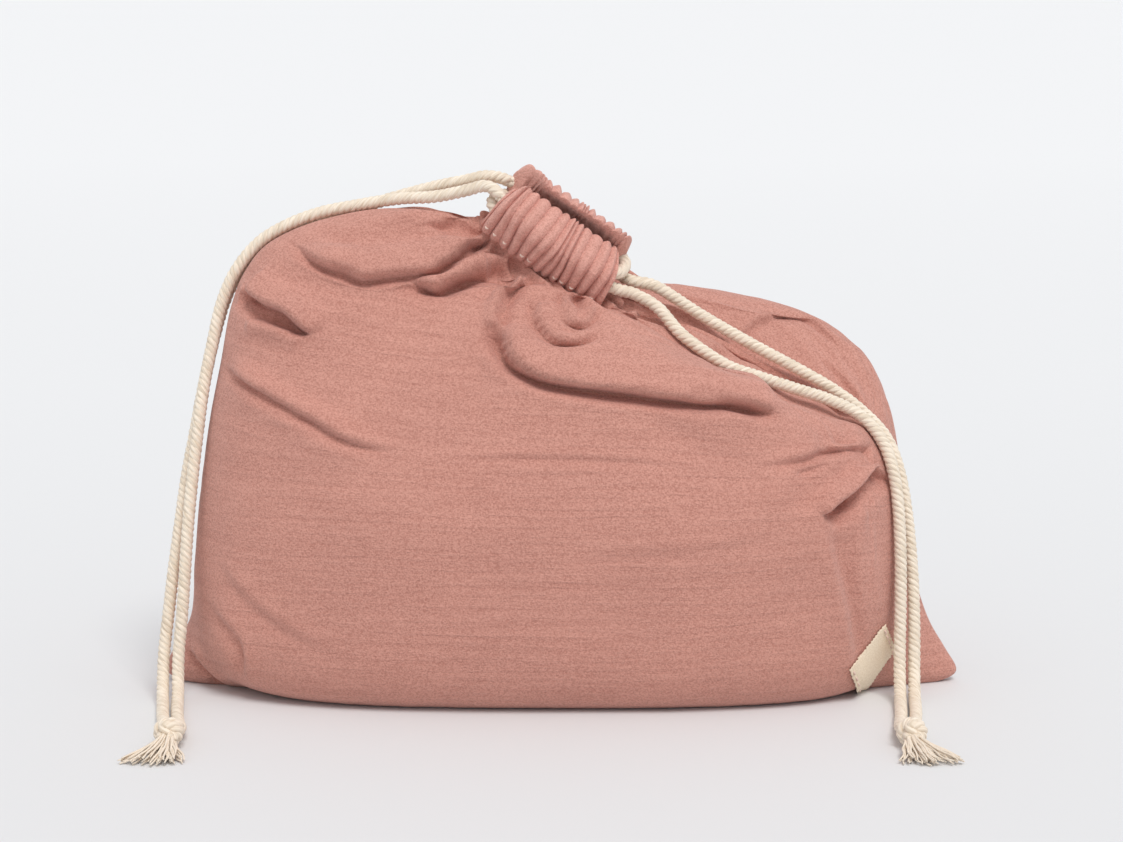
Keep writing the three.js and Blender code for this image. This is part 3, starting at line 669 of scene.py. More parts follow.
FRONT_FOLDS = {
    "ridge_overhang": fold(
        [(290, 238), (304, 254), (322, 264), (341, 271), (359, 279), (385, 277), (415, 274),
         (440, 266), (456, 252), (470, 243), (494, 240)],
        rise=4.5, reach=24, sink=6.5, fade=15, slump=3.5, groove=1.6, width=2.2,
        taper=(0.2, 0.05)),
    "second_lip": fold(
        [(402, 281), (420, 286), (437, 290), (459, 279), (480, 269), (502, 261), (520, 251)],
        rise=4.5, reach=13, sink=9, fade=22, soft=2.6, slump=3.5, taper=(0.15, 0.2)),
    "upper_left_tuck": fold(
        [(408, 234), (426, 227), (448, 226), (469, 230), (482, 231), (494, 224)],
        rise=2, reach=12, sink=3, fade=10, slump=1, taper=(0.4, 0.05)),
    "top_left_tuck": fold(
        [(446, 196), (461, 200), (476, 208), (490, 205)],
        rise=2, reach=10, sink=2.5, fade=8, taper=(0.4, 0.05)),
    "left_shoulder_pit": fold(
        [(247, 286), (262, 297), (285, 311), (300, 326), (309, 341)],
        rise=4.5, sink=9, fade=26, soft=2.6, slump=3, taper=(0.05, 0.2)),
    "pit_floor": fold(
        [(246, 318), (262, 322), (284, 330), (304, 341)],
        reach=10, sink=-3, fade=22, groove=2.5, width=6, taper=(0.1, 0.1)),
    "long_diagonal": fold(
        [(222, 366), (240, 378), (262, 393), (284, 408), (310, 425), (334, 440), (360, 452),
         (402, 462)],
        rise=3.2, reach=22, sink=2.8, fade=17, groove=2.2, width=2.5, slump=1.6, taper=(0.12, 0.35)),
    "front_overhang": fold(
        [(491, 331), (497, 350), (508, 366), (523, 376), (541, 383), (565, 387), (588, 390),
         (612, 393), (632, 395), (655, 398), (680, 400), (705, 401), (725, 399), (744, 403),
         (760, 414), (768, 428)],
        rise=7, reach=36, sink=10, fade=22, soft=2.3, slump=5.5, groove=1.5, width=2.5,
        taper=(0.06, 0.1)),
    "lip_shadow": fold(
        [(676, 397), (690, 395), (706, 395), (720, 396), (732, 401)],
        reach=8, sink=4, fade=9, taper=(0.25, 0.25)),
    "swirl_edge": fold(
        [(491, 336), (491, 324), (497, 308), (508, 294), (522, 281), (534, 272)],
        rise=5.5, reach=16, sink=7, fade=14, soft=3.2, slump=1, taper=(0.05, 0.3)),
    "swirl_middle": fold(
        [(527, 306), (527, 322), (532, 336), (543, 347), (556, 352), (572, 350), (588, 338)],
        rise=5, reach=12, sink=5, fade=10, soft=2.6, slump=2.4, groove=1.6, width=2.5,
        taper=(0.12, 0.15)),
    "swirl_inner": fold(
        [(555, 294), (555, 310), (561, 324), (573, 331), (584, 326), (590, 312)],
        rise=5, reach=9, sink=4.5, fade=8, soft=2.6, slump=2, taper=(0.15, 0.12)),
    "hanging_gather": fold(
        [(640, 334), (642, 316), (639, 298), (632, 286)],
        rise=2.5, reach=14, sink=4, fade=10, groove=1.5, width=2.5, taper=(0.2, 0.05)),
    "right_valley": fold(
        [(700, 346), (716, 357), (740, 366), (770, 377), (800, 388), (828, 401), (852, 420)],
        reach=12, sink=-2, fade=22, groove=3.5, width=9, taper=(0.2, 0.1)),
    "shoulder_tip": fold(
        [(740, 471), (774, 467), (800, 462), (825, 456), (848, 450), (872, 446)],
        rise=1.5, reach=16, sink=2.5, fade=16, groove=1.8, width=3, slump=0.5, taper=(0.45, 0.05)),
    "shoulder_under": fold(
        [(780, 480), (806, 473), (832, 469)],
        rise=0.8, reach=9, sink=1.2, fade=10, groove=0.8, width=3, taper=(0.3, 0.4)),
    "right_tuck": fold(
        [(812, 522), (824, 512), (842, 500), (860, 484), (876, 466)],
        rise=4, reach=22, sink=8, fade=26, soft=2.6, slump=2.5, taper=(0.12, 0.03)),
    "right_side": fold(
        [(862, 694), (856, 660), (846, 620), (834, 580), (822, 545), (814, 522)],
        rise=1.5, reach=34, sink=4.5, fade=40, soft=9, taper=(0.3, 0.2)),
    "left_ear_fold": fold(
        [(188, 646), (196, 655), (206, 666), (216, 676), (228, 688), (240, 700)],
        rise=2.5, reach=12, sink=1.5, fade=10, groove=2.8, width=3, taper=(0.15, 0.12)),
    "bottom_left_crease": fold(
        [(204, 600), (222, 620), (240, 642), (244, 668), (238, 694)],
        rise=1.2, reach=18, sink=1.6, fade=16, groove=1.2, width=3.5, taper=(0.3, 0.3)),
    "bottom_left_slope": fold(
        [(214, 556), (240, 592), (272, 622), (312, 646), (352, 662)],
        rise=0.8, reach=22, sink=1.4, fade=22, groove=0.5, taper=(0.25, 0.5)),
    "belly_ripple": fold(
        [(420, 470), (480, 466), (560, 464), (640, 468), (720, 478)],
        rise=0.6, reach=16, sink=0.9, fade=14, groove=0.3, width=3, taper=(0.4, 0.4)),
    "belly_ripple_low": fold(
        [(560, 560), (640, 556), (720, 548), (790, 532)],
        rise=0.6, reach=18, sink=0.8, fade=14, groove=0.3, width=3, taper=(0.4, 0.3)),
}
# Hollows and swells of the front: the middle and the half sizes in the picture's pixels, the
# turn in degrees, and how deep in millimetres, less than 0 for a swell
FRONT_HOLLOWS = {
    "under_neck": ((474, 281), (42, 9), -14, 7),
    "under_neck_end": ((503, 289), (12, 9), -30, 3.5),
    "swirl_eye": ((574, 305), (6, 9), -20, 8),
    "shoulder_pit": ((272, 319), (24, 7), 20, 4),
    "tuck_point": ((838, 508), (10, 6), -35, 5),
    "overhang_swell": ((632, 356), (66, 24), 10, -4),
    "ridge_swell": ((372, 240), (70, 20), -12, -2.5),
    "lip_swell": ((740, 388), (30, 12), 12, -1.5),
    "belly_swell": ((540, 520), (240, 80), 0, -1.5),
}
BACK_FOLDS = {
    "lobe_roll": fold(
        [(728, 350), (744, 337), (761, 325), (779, 318), (800, 319), (825, 331), (853, 354)],
        rise=1.8, reach=9, sink=1.5, fade=12, groove=1.2, width=3.5, taper=(0.1, 0.35)),
    "lobe_tuck": fold(
        [(706, 356), (714, 351), (729, 340), (742, 330)],
        rise=1, reach=8, sink=3, fade=14, groove=1.5, width=3),
    "lobe_slope": fold(
        [(812, 352), (836, 372), (856, 396), (868, 424)],
        rise=0.8, reach=14, sink=1.2, fade=14, taper=(0.35, 0.35)),
}
BACK_HOLLOWS = {
    "behind_cords": ((745, 362), (44, 14), 24, 6),
}


def line_places(pixels, line):
    """How far points lie above a line in the picture, and how far along it, as a share."""
    lengths = np.linalg.norm(np.diff(line, axis=0), axis=1)
    starts = np.concatenate([[0], np.cumsum(lengths)]) / lengths.sum()
    best = np.full(pixels.shape[:-1], np.inf)
    side = np.zeros(pixels.shape[:-1])
    share = np.zeros(pixels.shape[:-1])
    for number, (start, end) in enumerate(zip(line[:-1], line[1:])):
        along = (end - start) / lengths[number]
        away = pixels - start
        place = np.clip(away @ along, 0, lengths[number])
        off = away - place[..., None] * along
        distance = np.linalg.norm(off, axis=-1)
        above = along[0] * (pixels[..., 1] - start[1]) - along[1] * (pixels[..., 0] - start[0])
        nearer = distance < best
        best = np.where(nearer, distance, best)
        side = np.where(nearer, -np.sign(above), side)
        share = np.where(nearer, starts[number] + place / lengths[number]
                         * (starts[number + 1] - starts[number]), share)
    return best * side, share


def fold_moves(normals, seen, pixels, folds, hollows):
    """How far the folds and hollows of one panel move its points."""
    moves = np.zeros_like(normals)
    for one in folds.values():
        above, share = line_places(pixels, one["line"])
        ends = (smooth_step(0, one["taper"][0], share)
                * smooth_step(0, one["taper"][1], 1 - share))
        over = smooth_step(-one["soft"], one["soft"], above)
        lift = one["rise"] * (1 - smooth_step(0, one["reach"], above)) * over
        drop = one["sink"] * (1 - smooth_step(0, one["fade"], -above)) * (1 - over)
        cut = one["groove"] * np.exp(-(above / one["width"]) ** 2)
        moves += normals * ((lift - drop - cut) * ends * seen)[..., None]
        moves[..., 2] -= (one["slump"] * (1 - smooth_step(0, one["reach"] / 2, above))
                          * over * ends * seen)
    for middle, sizes, turn, depth in hollows.values():
        away = pixels - np.array(middle, float)
        cosine, sine = math.cos(math.radians(turn)), math.sin(math.radians(turn))
        along = (away[..., 0] * cosine + away[..., 1] * sine) / sizes[0]
        across = (away[..., 1] * cosine - away[..., 0] * sine) / sizes[1]
        moves -= normals * (depth * MM * np.exp(-along ** 2 - across ** 2) * seen)[..., None]
    return moves


def press_moves(ring, normals):
    """The moves that press the folds of both panels where they show in the photograph."""
    facing = (normals * unit(CAMERA_PLACE - ring)).sum(-1)
    below = below_neck(ring)
    seen = smooth_step(0, EDGE_ON_SHARE, facing) * smooth_step(FOLD_NEAREST, FOLD_START, below)
    parts = [part_panels(values) for values in (normals, seen, in_picture(ring))]
    front = fold_moves(*(part["front"] for part in parts), FRONT_FOLDS, FRONT_HOLLOWS)
    back = fold_moves(*(part["back"] for part in parts), BACK_FOLDS, BACK_HOLLOWS)
    return join_panels(front, back)


def pleat_wave(shares, crests):
    """1 on the crest of each gather and 0 in the sharp valley between two."""
    phase = np.interp(shares, crests, np.arange(len(crests)))
    return np.abs(np.cos(np.pi * phase)) ** CREST_ROUNDNESS


def along_neck(side):
    """Angles round one half of the neck, and how far along it each lies, as a share."""
    angles = HALF_START[side] + np.linspace(0, np.pi, NECK_STEPS)
    along = lengths_along(neck_frame(angles)[0])
    return angles, along / along[-1]


def gather_amounts(side, below):
    """How far one panel stands out where the neck's gathers run down into it."""
    columns = below.shape[1]
    place = np.interp(panel_angles(side, columns - 1), *along_neck(side))
    crests = PLEAT_CRESTS[side]
    wave = pleat_wave(place, crests)
    fading = np.exp(-(below / PLEAT_REACH) ** PLEAT_FADE_BEND)
    amount = PLEAT_DEPTH * (wave[None, :] - 0.5) * fading
    for number, reach in LONG_GATHERS[side].items():
        reach = reach * MM
        lean = (LONG_GATHER_LEAN * math.sin(LONG_GATHER_LEAN_TURN * number)
                * below / (below + LONG_GATHER_BEND))
        away = (place[None, :] - crests[number] - lean) / LONG_GATHER_WIDTH
        form = RIDGE_SHARE * np.exp(-away ** 2) - HOLLOW_SHARE * np.exp(-(away / 2) ** 2)
        swell = (smooth_step(0, LONG_GATHER_START, below)
                 * (1 - smooth_step(LONG_GATHER_FULL * reach, reach, below)))
        amount += LONG_GATHER_RISE[side] * swell * form
    return amount


def gather_moves(ring, normals):
    """The moves that let the neck's gathers run down into the panels and die away."""
    below = part_panels(np.maximum(below_neck(ring) - GATHER_START, 0))
    amount = join_panels(*(gather_amounts(side, below[side]) for side in ("front", "back")))
    return normals * amount[..., None]


# Settling of the cloth

# A coarse copy of both panels, a few per cent too large, falls on the bag's contents, a body just
# inside it, and wrinkles there. It is held at the neck, on the floor and under the cords.
SETTLE_ROWS = 74
SETTLE_COLUMNS = 78
SETTLE_FRAMES = 26
CONTENTS_GAP = 2.4 * MM
CLOTH_SLACK = 0.022
SETTLE_LIMIT = 5 * MM
SETTLE_GAP = 0.8 * MM
SETTLE_SOFTENING = 3
CONTENTS_FRICTION = 8
COLLISION_QUALITY = 2
NECK_HOLD = 14 * MM
FLOOR_HOLD = 3 * MM
CORD_HOLD = 7 * MM
CORD_HOLD_SPACING = 4
CLOTH_SETTINGS = {
    "quality": 6, "mass": 0.08, "tension_stiffness": 25, "compression_stiffness": 25,
    "shear_stiffness": 8, "bending_stiffness": 0.5, "air_damping": 3,
    "vertex_group_mass": "held", "shrink_min": -CLOTH_SLACK, "shrink_max": -CLOTH_SLACK}
# The cloth is cleared of each cord in stretches of its line, and more so farther from the neck
CORD_STRETCH = 24
CLEARING_SPACING = 3
CLEARING_START = 0.3 * CORD_HOLD
CLEARING_FULL = 2 * CORD_HOLD
CLEARING_ROUNDS = 3
CLEARING_SOFTENING = 12
CLEARING_EXCESS = 1.15
CORD_AIR = 0.2 * MM


def hold_weights(points, rows, columns, cords):
    """How firmly each point is held: at the neck, on the floor and under the cords."""
    below = below_neck(points.reshape(rows, columns, 3)).ravel()
    weights = 1 - smooth_step(NECK_HOLD, 3 * NECK_HOLD, below)
    weights = np.maximum(weights, 1 - smooth_step(0, FLOOR_HOLD, points[:, 2]))
    for line in cords:
        away = points[:, None] - line[None, ::CORD_HOLD_SPACING]
        distance = np.linalg.norm(away, axis=-1).min(axis=1)
        weights = np.maximum(weights, 1 - smooth_step(CORD_HOLD, 2 * CORD_HOLD, distance))
    return weights


def simulated(points, outward, faces, weights):
    """The points of a slack cloth after it has settled on its contents."""
    still = np.zeros((len(points), 2))
    contents = mesh_piece("contents", points - outward * CONTENTS_GAP, faces, still, ROSE)
    contents.modifiers.new("surface", "COLLISION")
    contents.collision.thickness_outer = SETTLE_GAP
    contents.collision.cloth_friction = CONTENTS_FRICTION
    cloth = mesh_piece("settling_cloth", points, faces, still, ROSE)
    group = cloth.vertex_groups.new(name="held")
    for number, weight in enumerate(weights):
        group.add([number], float(weight), "REPLACE")
    fall = cloth.modifiers.new("fall", "CLOTH")
    for key, value in CLOTH_SETTINGS.items():
        setattr(fall.settings, key, value)
    fall.collision_settings.distance_min = SETTLE_GAP
    fall.collision_settings.collision_quality = COLLISION_QUALITY
    fall.point_cache.frame_start = 1
    fall.point_cache.frame_end = SETTLE_FRAMES
    for number in range(1, SETTLE_FRAMES + 1):
        bpy.context.scene.frame_set(number)
    done = cloth.evaluated_get(bpy.context.evaluated_depsgraph_get())
    settled = np.zeros(len(points) * 3)
    done.data.vertices.foreach_get("co", settled)
    bpy.context.scene.frame_set(1)
    bpy.data.objects.remove(cloth)
    bpy.data.objects.remove(contents)
    return settled.reshape(-1, 3)


def settle(whole, cords):
    """Moves both panels as their simulated copy moves."""
    rows, columns = whole.shape[0], whole.shape[1] // 2
    pick_rows = np.unique(np.linspace(0, rows - 1, SETTLE_ROWS).round().astype(int))
    even = np.interp(np.linspace(0, np.pi, SETTLE_COLUMNS), panel_angles("back", columns),
                     np.arange(columns + 1))
    half = np.unique(even.round().astype(int))[:-1]
    pick_columns = np.concatenate([half, half + columns])
    chosen = np.ix_(pick_rows, pick_columns)
    ring = whole[chosen]
    points, outward = ring.reshape(-1, 3), ring_normals(whole)[chosen].reshape(-1, 3)
    settled = simulated(points, outward, grid_faces(*ring.shape[:2], closed=True),
                        hold_weights(points, *ring.shape[:2], cords))
    moves = settled.reshape(ring.shape) - ring
    size = np.linalg.norm(moves, axis=-1, keepdims=True)
    moves *= np.minimum(1, SETTLE_LIMIT / np.maximum(size, 1e-9))
    soften(moves, SETTLE_SOFTENING)
    closed = np.concatenate([moves, moves[:, :1]], axis=1)
    row_shares = np.interp(np.arange(rows), pick_rows, np.arange(len(pick_rows)))
    column_shares = np.interp(np.arange(2 * columns), np.append(pick_columns, 2 * columns),
                              np.arange(len(pick_columns) + 1))
    fine = catmull_rom(closed, row_shares)
    return whole + catmull_rom(fine.swapaxes(0, 1), column_shares).swapaxes(0, 1)


def off_cords(ring, lines, gap):
    """The moves that take the cloth off the cords that lie on it, below the neck."""
    moves = np.zeros_like(ring)
    depth = np.zeros(ring.shape[:2])
    clear = gap * smooth_step(CLEARING_START, CLEARING_FULL, below_neck(ring))
    for line in lines:
        for start in range(0, len(line), CORD_STRETCH):
            stretch = line[start:start + CORD_STRETCH + 1:CLEARING_SPACING]
            low, high = stretch.min(0) - gap, stretch.max(0) + gap
            rows, columns = np.nonzero(np.all((ring > low) & (ring < high), axis=-1))
            away = ring[rows, columns][:, None] - stretch[None]
            distance = np.linalg.norm(away, axis=-1)
            nearest = distance.argmin(axis=1)
            pick = np.arange(len(nearest))
            short = clear[rows, columns] - distance[pick, nearest]
            deeper = short > depth[rows, columns]
            push = unit(away[pick, nearest])[deeper]
            push[:, 2] = np.minimum(push[:, 2], 0)
            depth[rows[deeper], columns[deeper]] = short[deeper]
            moves[rows[deeper], columns[deeper]] = push * short[deeper][:, None]
    return moves


def clear_of_cords(ring, lines, gap):
    """Presses a soft furrow into the cloth under each cord."""
    for _ in range(CLEARING_ROUNDS):
        ring = ring + soften(off_cords(ring, lines, CLEARING_EXCESS * gap), CLEARING_SOFTENING)
    return ring + off_cords(ring, lines, gap)


# The gathered channel

HEM_END_ANGLE = math.radians(33)
HEM_STEPS = 420
# Half the channel's thickness and the lean to the mouth's middle, at levels up its height,
# all as shares, from the stitch line to the top
HEM_PROFILE = [
    (-0.5, 0.35, 0), (-0.47, 0.38, 0), (-0.40, 0.43, 0), (-0.27, 0.49, 0), (-0.1, 0.53, 0.02),
    (0.06, 0.54, 0.01), (0.2, 0.49, 0.04), (0.32, 0.40, 0.17), (0.42, 0.27, 0.34),
    (0.48, 0.15, 0.44), (0.5, 0.04, 0.48)]
HEM_PROFILE_STEPS = 31
# The pleats: their depth, the height of their wave that stays in place, how much shallower they
# are at the mouth and inside, the ripples on them, and the height of the ruffle
HEM_PLEAT_DEPTH = 2.6 * MM
HEM_PLEAT_MEAN = 0.62
HEM_MOUTH_FADE = 0.65
HEM_INNER_SHARE = 0.4
HEM_RIPPLE = 0.07
RUFFLE_HEIGHT = 1.4 * MM
HEM_DRIFT = 2.2 * MM
HEM_LEAN = {"front": 15 * MM, "back": 21 * MM}
HEM_RISE = {"front": 0, "back": 4.5 * MM}
HEM_CORNER_SHARE = 0.1
HEM_CORNER_DROP = 5 * MM
HEM_END_SHARE = 0.07
HEM_END_LEAST = 0.02
# Waves that make the pleats uneven: their height, their turn per pleat and their start
UNEVEN_WAVES = ((0.2, 2.3, 0.7), (0.15, 5.1, 0))
RIPPLES_PER_PLEAT = 2
RIPPLE_SLANT = 5
DRIFT_TURN = 0.9
DRIFT_SLANT = 1.2
# The levels between which each of these grows from nothing to its full size
MOUTH_LEVELS = (0.3, 0.5)
RIPPLE_LEVELS = (-0.3, 0.3)
RUFFLE_LEVELS = (0.15, 0.5)
RISE_LEVELS = (-0.1, 0.5)
CORNER_LEVELS = (0, 0.5)
DRIFT_LEVELS = (-0.5, 0.4)
HEM_MAP_LENGTH = 0.3
HEM_MAP_EXTRA = 0.2 * MM


def hem_grid(side):
    """Rings round one half of the channel, from end to end, their levels, and how far along the
    neck each lies."""
    shares = np.linspace(0, 1, HEM_STEPS + 1)
    angles = HALF_START[side] + HEM_END_ANGLE + (np.pi - 2 * HEM_END_ANGLE) * shares
    place = np.interp(angles, *along_neck(side))
    point, up, out, onward = neck_frame(angles)
    crests = PLEAT_CRESTS[side]
    count = np.interp(place, crests, np.arange(len(crests)))
    wave = pleat_wave(place, crests)
    uneven = sum((height * np.sin(turn * count + first) for height, turn, first in UNEVEN_WAVES), 1)
    middle = np.sin(np.pi * shares) ** 0.5
    from_end = np.minimum(shares, 1 - shares)
    to_end = np.maximum(1 - from_end / HEM_END_SHARE, 0)
    full = np.sqrt(np.maximum(1 - to_end ** 2, HEM_END_LEAST))
    to_corner = np.maximum(1 - from_end / HEM_CORNER_SHARE, 0)
    corner_drop = HEM_CORNER_DROP * (1 - np.sqrt(1 - to_corner ** 2))
    profile = catmull_rom(np.array(HEM_PROFILE),
                          np.linspace(0, len(HEM_PROFILE) - 1, HEM_PROFILE_STEPS))
    ring = [(*row, 1) for row in profile] + [(*row, -1) for row in profile[::-1]]
    sections = []
    for level, half, lean, outward in ring:
        depth = HEM_PLEAT_DEPTH * (1 - HEM_MOUTH_FADE * smooth_step(*MOUTH_LEVELS, level))
        ripple = (np.sin(2 * np.pi * RIPPLES_PER_PLEAT * count + RIPPLE_SLANT * level)
                  * smooth_step(*RIPPLE_LEVELS, level))
        amount = depth * (uneven * (wave - HEM_PLEAT_MEAN) + HEM_RIPPLE * ripple)
        amount = amount * (1 if outward > 0 else HEM_INNER_SHARE)
        rise = (RUFFLE_HEIGHT * (wave - 0.5) * uneven * smooth_step(*RUFFLE_LEVELS, level)
                + HEM_RISE[side] * middle * smooth_step(*RISE_LEVELS, level)
                - corner_drop * smooth_step(*CORNER_LEVELS, level))
        drift = (HEM_DRIFT * np.sin(DRIFT_TURN * count + DRIFT_SLANT * level)
                 * smooth_step(*DRIFT_LEVELS, level))
        sections.append(point + up * (level * CHANNEL_HEIGHT + rise)[:, None]
                        + out * (outward * full * (half * CHANNEL_THICKNESS + amount)
                                 - HEM_LEAN[side] * lean * middle)[:, None]
                        + onward * (drift * middle)[:, None])
    return np.stack(sections, 1), [row[0] for row in ring], place


def hem_piece(side):
    """One half of the drawstring channel: a closed, gathered tube of cloth."""
    grid, levels, _ = hem_grid(side)
    along = np.linspace(0, HEM_MAP_LENGTH, len(grid))
    around = np.cumsum(np.abs(np.diff(levels)) * CHANNEL_HEIGHT + HEM_MAP_EXTRA)
    # The channel's cloth is the body's gauze painted lighter, as painted light
    piece = tubes_piece(side + "_hem", [(grid, along, [0, *around])], ROSE_HEM_PAINTED_LIGHT)
    piece.data.flip_normals()
    return piece


# The drawstrings inside the channel

RUN_END_ANGLE = math.radians(31)
RUN_LIFT = CORD_DIAMETER / 2 + 0.4 * MM
RUN_STEPS = 60


def run_cord(side):
    """The stretch of a drawstring that the channel holds, round the far end of the neck."""
    start, level = (np.pi, 1) if side == "left" else (0, -1)
    angles = start + RUN_END_ANGLE + (2 * np.pi - 2 * RUN_END_ANGLE) * np.linspace(0, 1, RUN_STEPS)
    point, up, _, _ = neck_frame(angles)
    line = point + up * level * RUN_LIFT
    return twisted_cord(side + "_cord_in_channel", line / MM)[0]


# Label and stitches

# Corners of the label in the picture's pixels, from its inner low corner on to the right
LABEL_CORNERS = np.array([(848, 669), (859, 698), (893, 650), (883, 624)], float)
LABEL_LENGTH = 27 * MM
LABEL_BREADTH = 13 * MM
LABEL_COLUMNS = 64
LABEL_ROWS = 30
LABEL_LIFT = 0.55 * MM
LABEL_THICKNESS = 0.5 * MM
LABEL_CURL = 0.9 * MM
CURL_START = 0.8
CURL_LOW_SHARE = 0.3
PINKING_PIXELS = 0.4 * MM * FOCAL_LENGTH_PIXELS / CAMERA_DISTANCE
PINKING_TEETH = 16
# How sharply the teeth end inwards from the label's long sides and from its ends
SIDE_TEETH_BEND = 9
END_TEETH_BEND = 15
SKIN_POINTS = 12
SKIN_SPREAD = 4
STITCH_LENGTH = 3.0 * MM
STITCH_RADIUS = 0.36 * MM
STITCH_STEPS = 7
STITCH_SIDES = 6
STITCH_ARCH = 1.9
STITCH_DIP = 0.5
STITCH_MAP_ROUND = 0.7
STITCH_LEVEL = -0.36
STITCH_HALF_STEPS = 5
HIDDEN_CRESTS = 3
LABEL_STITCHES = 5
LABEL_STITCH_FIRST = 0.12
LABEL_STITCH_SPACING = 0.19
LABEL_STITCH_SHARE = 0.11
LABEL_STITCH_INSET = 0.06


class Skin:
    """Finds the places of a finished panel that show at given pixels of the photograph."""

    def __init__(self, grid):
        normals = ring_normals(grid)
        facing = (normals * unit(CAMERA_PLACE - grid)).sum(-1) > 0
        self.points = grid[facing]
        self.outward = normals[facing]
        self.pixels = in_picture(self.points)

    def at(self, pixel):
        """The mean of the nearest points, and the way out of the cloth there."""
        distance = np.linalg.norm(self.pixels - pixel, axis=-1)
        near = np.argsort(distance)[:SKIN_POINTS]
        weight = np.exp(-(distance[near] / SKIN_SPREAD) ** 2) + 1e-9
        weight = (weight / weight.sum())[:, None]
        return (self.points[near] * weight).sum(0), unit((self.outward[near] * weight).sum(0))


def label_pixel(along, up):
    """Where a place of the label shows: its shares of the way along it and across it."""
    low_in, low_out, high_out, high_in = LABEL_CORNERS
    return ((low_in * (1 - along) + high_in * along) * (1 - up)
            + (low_out * (1 - along) + high_out * along) * up)


def tooth(count):
    """The height of a row of teeth after a number of them, from -0.5 to 0.5."""
    return abs(count % 1 - 0.5) * 2 - 0.5


def label_piece(skin):
    """The bare woven label: a thin cloth with pinked ends that follows the bag's side."""
    low_in, low_out, _, high_in = LABEL_CORNERS
    long_way, short_way = unit(high_in - low_in), unit(low_out - low_in)
    rows, columns = LABEL_ROWS + 1, LABEL_COLUMNS + 1
    index = np.arange(rows * columns).reshape(rows, columns)
    top, bottom = [], []
    for row, column in np.ndindex(rows, columns):
        along, up = column / LABEL_COLUMNS, row / LABEL_ROWS
        pixel = label_pixel(along, up)
        pixel += (short_way * (2 * up - 1) ** SIDE_TEETH_BEND
                  * tooth(along * PINKING_TEETH) * PINKING_PIXELS)
        pixel += (long_way * (2 * along - 1) ** END_TEETH_BEND
                  * tooth(up * PINKING_TEETH / 2) * PINKING_PIXELS)
        point, outward = skin.at(pixel)
        curl = (LABEL_CURL * max(0, abs(2 * along - 1) - CURL_START) / (1 - CURL_START)
                * (CURL_LOW_SHARE + (1 - CURL_LOW_SHARE) * up))
        top.append(point + outward * (LABEL_LIFT + LABEL_THICKNESS + curl))
        bottom.append(point + outward * (LABEL_LIFT + curl))
    faces = grid_faces(rows, columns)
    faces += [face[::-1] for face in grid_faces(rows, columns, first=index.size)]
    rim = [*index[0], *index[1:, -1], *index[-1, -2::-1], *index[-2:0:-1, 0]]
    faces += [[one, one + index.size, other + index.size, other]
              for one, other in zip(rim, rim[1:] + rim[:1])]
    row, column = np.divmod(index.ravel(), columns)
    maps = np.stack([column / LABEL_COLUMNS * LABEL_LENGTH, row / LABEL_ROWS * LABEL_BREADTH], -1)
    return mesh_piece("bare_label", above_floor(np.array(top + bottom)), faces,
                      np.concatenate([maps, maps]), LABEL)


def stitch_tube(number, start, end, outward):
    """One stitch: a short thread that dips into the cloth at both ends, with its map."""
    share = np.linspace(0, 1, STITCH_STEPS)[:, None]
    line = start + (end - start) * share
    line = line + outward * STITCH_RADIUS * (STITCH_ARCH * np.sin(np.pi * share) - STITCH_DIP)
    return (above_floor(tube_points(line, STITCH_RADIUS, STITCH_SIDES)),
            np.linspace(0, STITCH_LENGTH, STITCH_STEPS),
            np.arange(STITCH_SIDES) * STITCH_MAP_ROUND + number)


def stitches_piece(name, stitches):
    tubes = [stitch_tube(number, *stitch) for number, stitch in enumerate(stitches)]
    return tubes_piece(name, tubes, THREAD)


def channel_stitches(side):
    """The cream row of stitches through the channel's foot. The gathers hide every fourth."""
    grid, levels, place = hem_grid(side)
    row = int(np.argmin(np.abs(np.array(levels[:HEM_PROFILE_STEPS]) - STITCH_LEVEL)))
    line = grid[:, row]
    outward = unit(np.cross(np.gradient(line, axis=0), grid[:, row + 1] - grid[:, row - 1]))
    made = []
    for number, crest in enumerate(PLEAT_CRESTS[side][HIDDEN_CRESTS:-HIDDEN_CRESTS]):
        if number % 4 < 3:
            middle = int(np.argmin(np.abs(place - crest)))
            made.append((line[middle - STITCH_HALF_STEPS], line[middle + STITCH_HALF_STEPS],
                         outward[middle]))
    return stitches_piece(side + "_channel_stitches", made)


def label_stitches(skin):
    """Small stitches that hold the label at its two ends."""
    lift = LABEL_LIFT + LABEL_THICKNESS + STITCH_RADIUS / 2
    made = []
    for along in (LABEL_STITCH_INSET, 1 - LABEL_STITCH_INSET):
        for number in range(LABEL_STITCHES):
            start = LABEL_STITCH_FIRST + LABEL_STITCH_SPACING * number
            ends = [skin.at(label_pixel(along, up)) for up in (start, start + LABEL_STITCH_SHARE)]
            made.append((*(point + outward * lift for point, outward in ends), ends[0][1]))
    return stitches_piece("label_stitches", made)


# Knots and tassels

KNOT_CENTRES = {"left": np.array([-145.45, -86, 6]) * MM, "right": np.array([129.65, -86, 6]) * MM}
TASSEL_SWAY = {"left": -3 * MM, "right": 5 * MM}
TASSEL_SEEDS = {"left": 11, "right": 29}
KNOT_LENGTH = 11 * MM
WRAP_RADIUS = 3.5 * MM
WRAP_TURNS = 1.75
WRAP_START = math.radians(200)
WRAP_MARGIN = 2.4 * MM
WRAP_SHARE = 0.95
WRAP_HALF_LENGTH = WRAP_SHARE * (KNOT_LENGTH / 2 - WRAP_MARGIN)
WRAP_WOBBLE = 0.05
WOBBLES_PER_TURN = 3
WRAP_FLATNESS = 0.98
WRAP_STEPS = 74
WRAP_THICKNESS = 0.92
TUCK_DEPTH = 1.5 * MM
TUCK_SHARE = 0.9
CORE_THICKNESS = 0.9
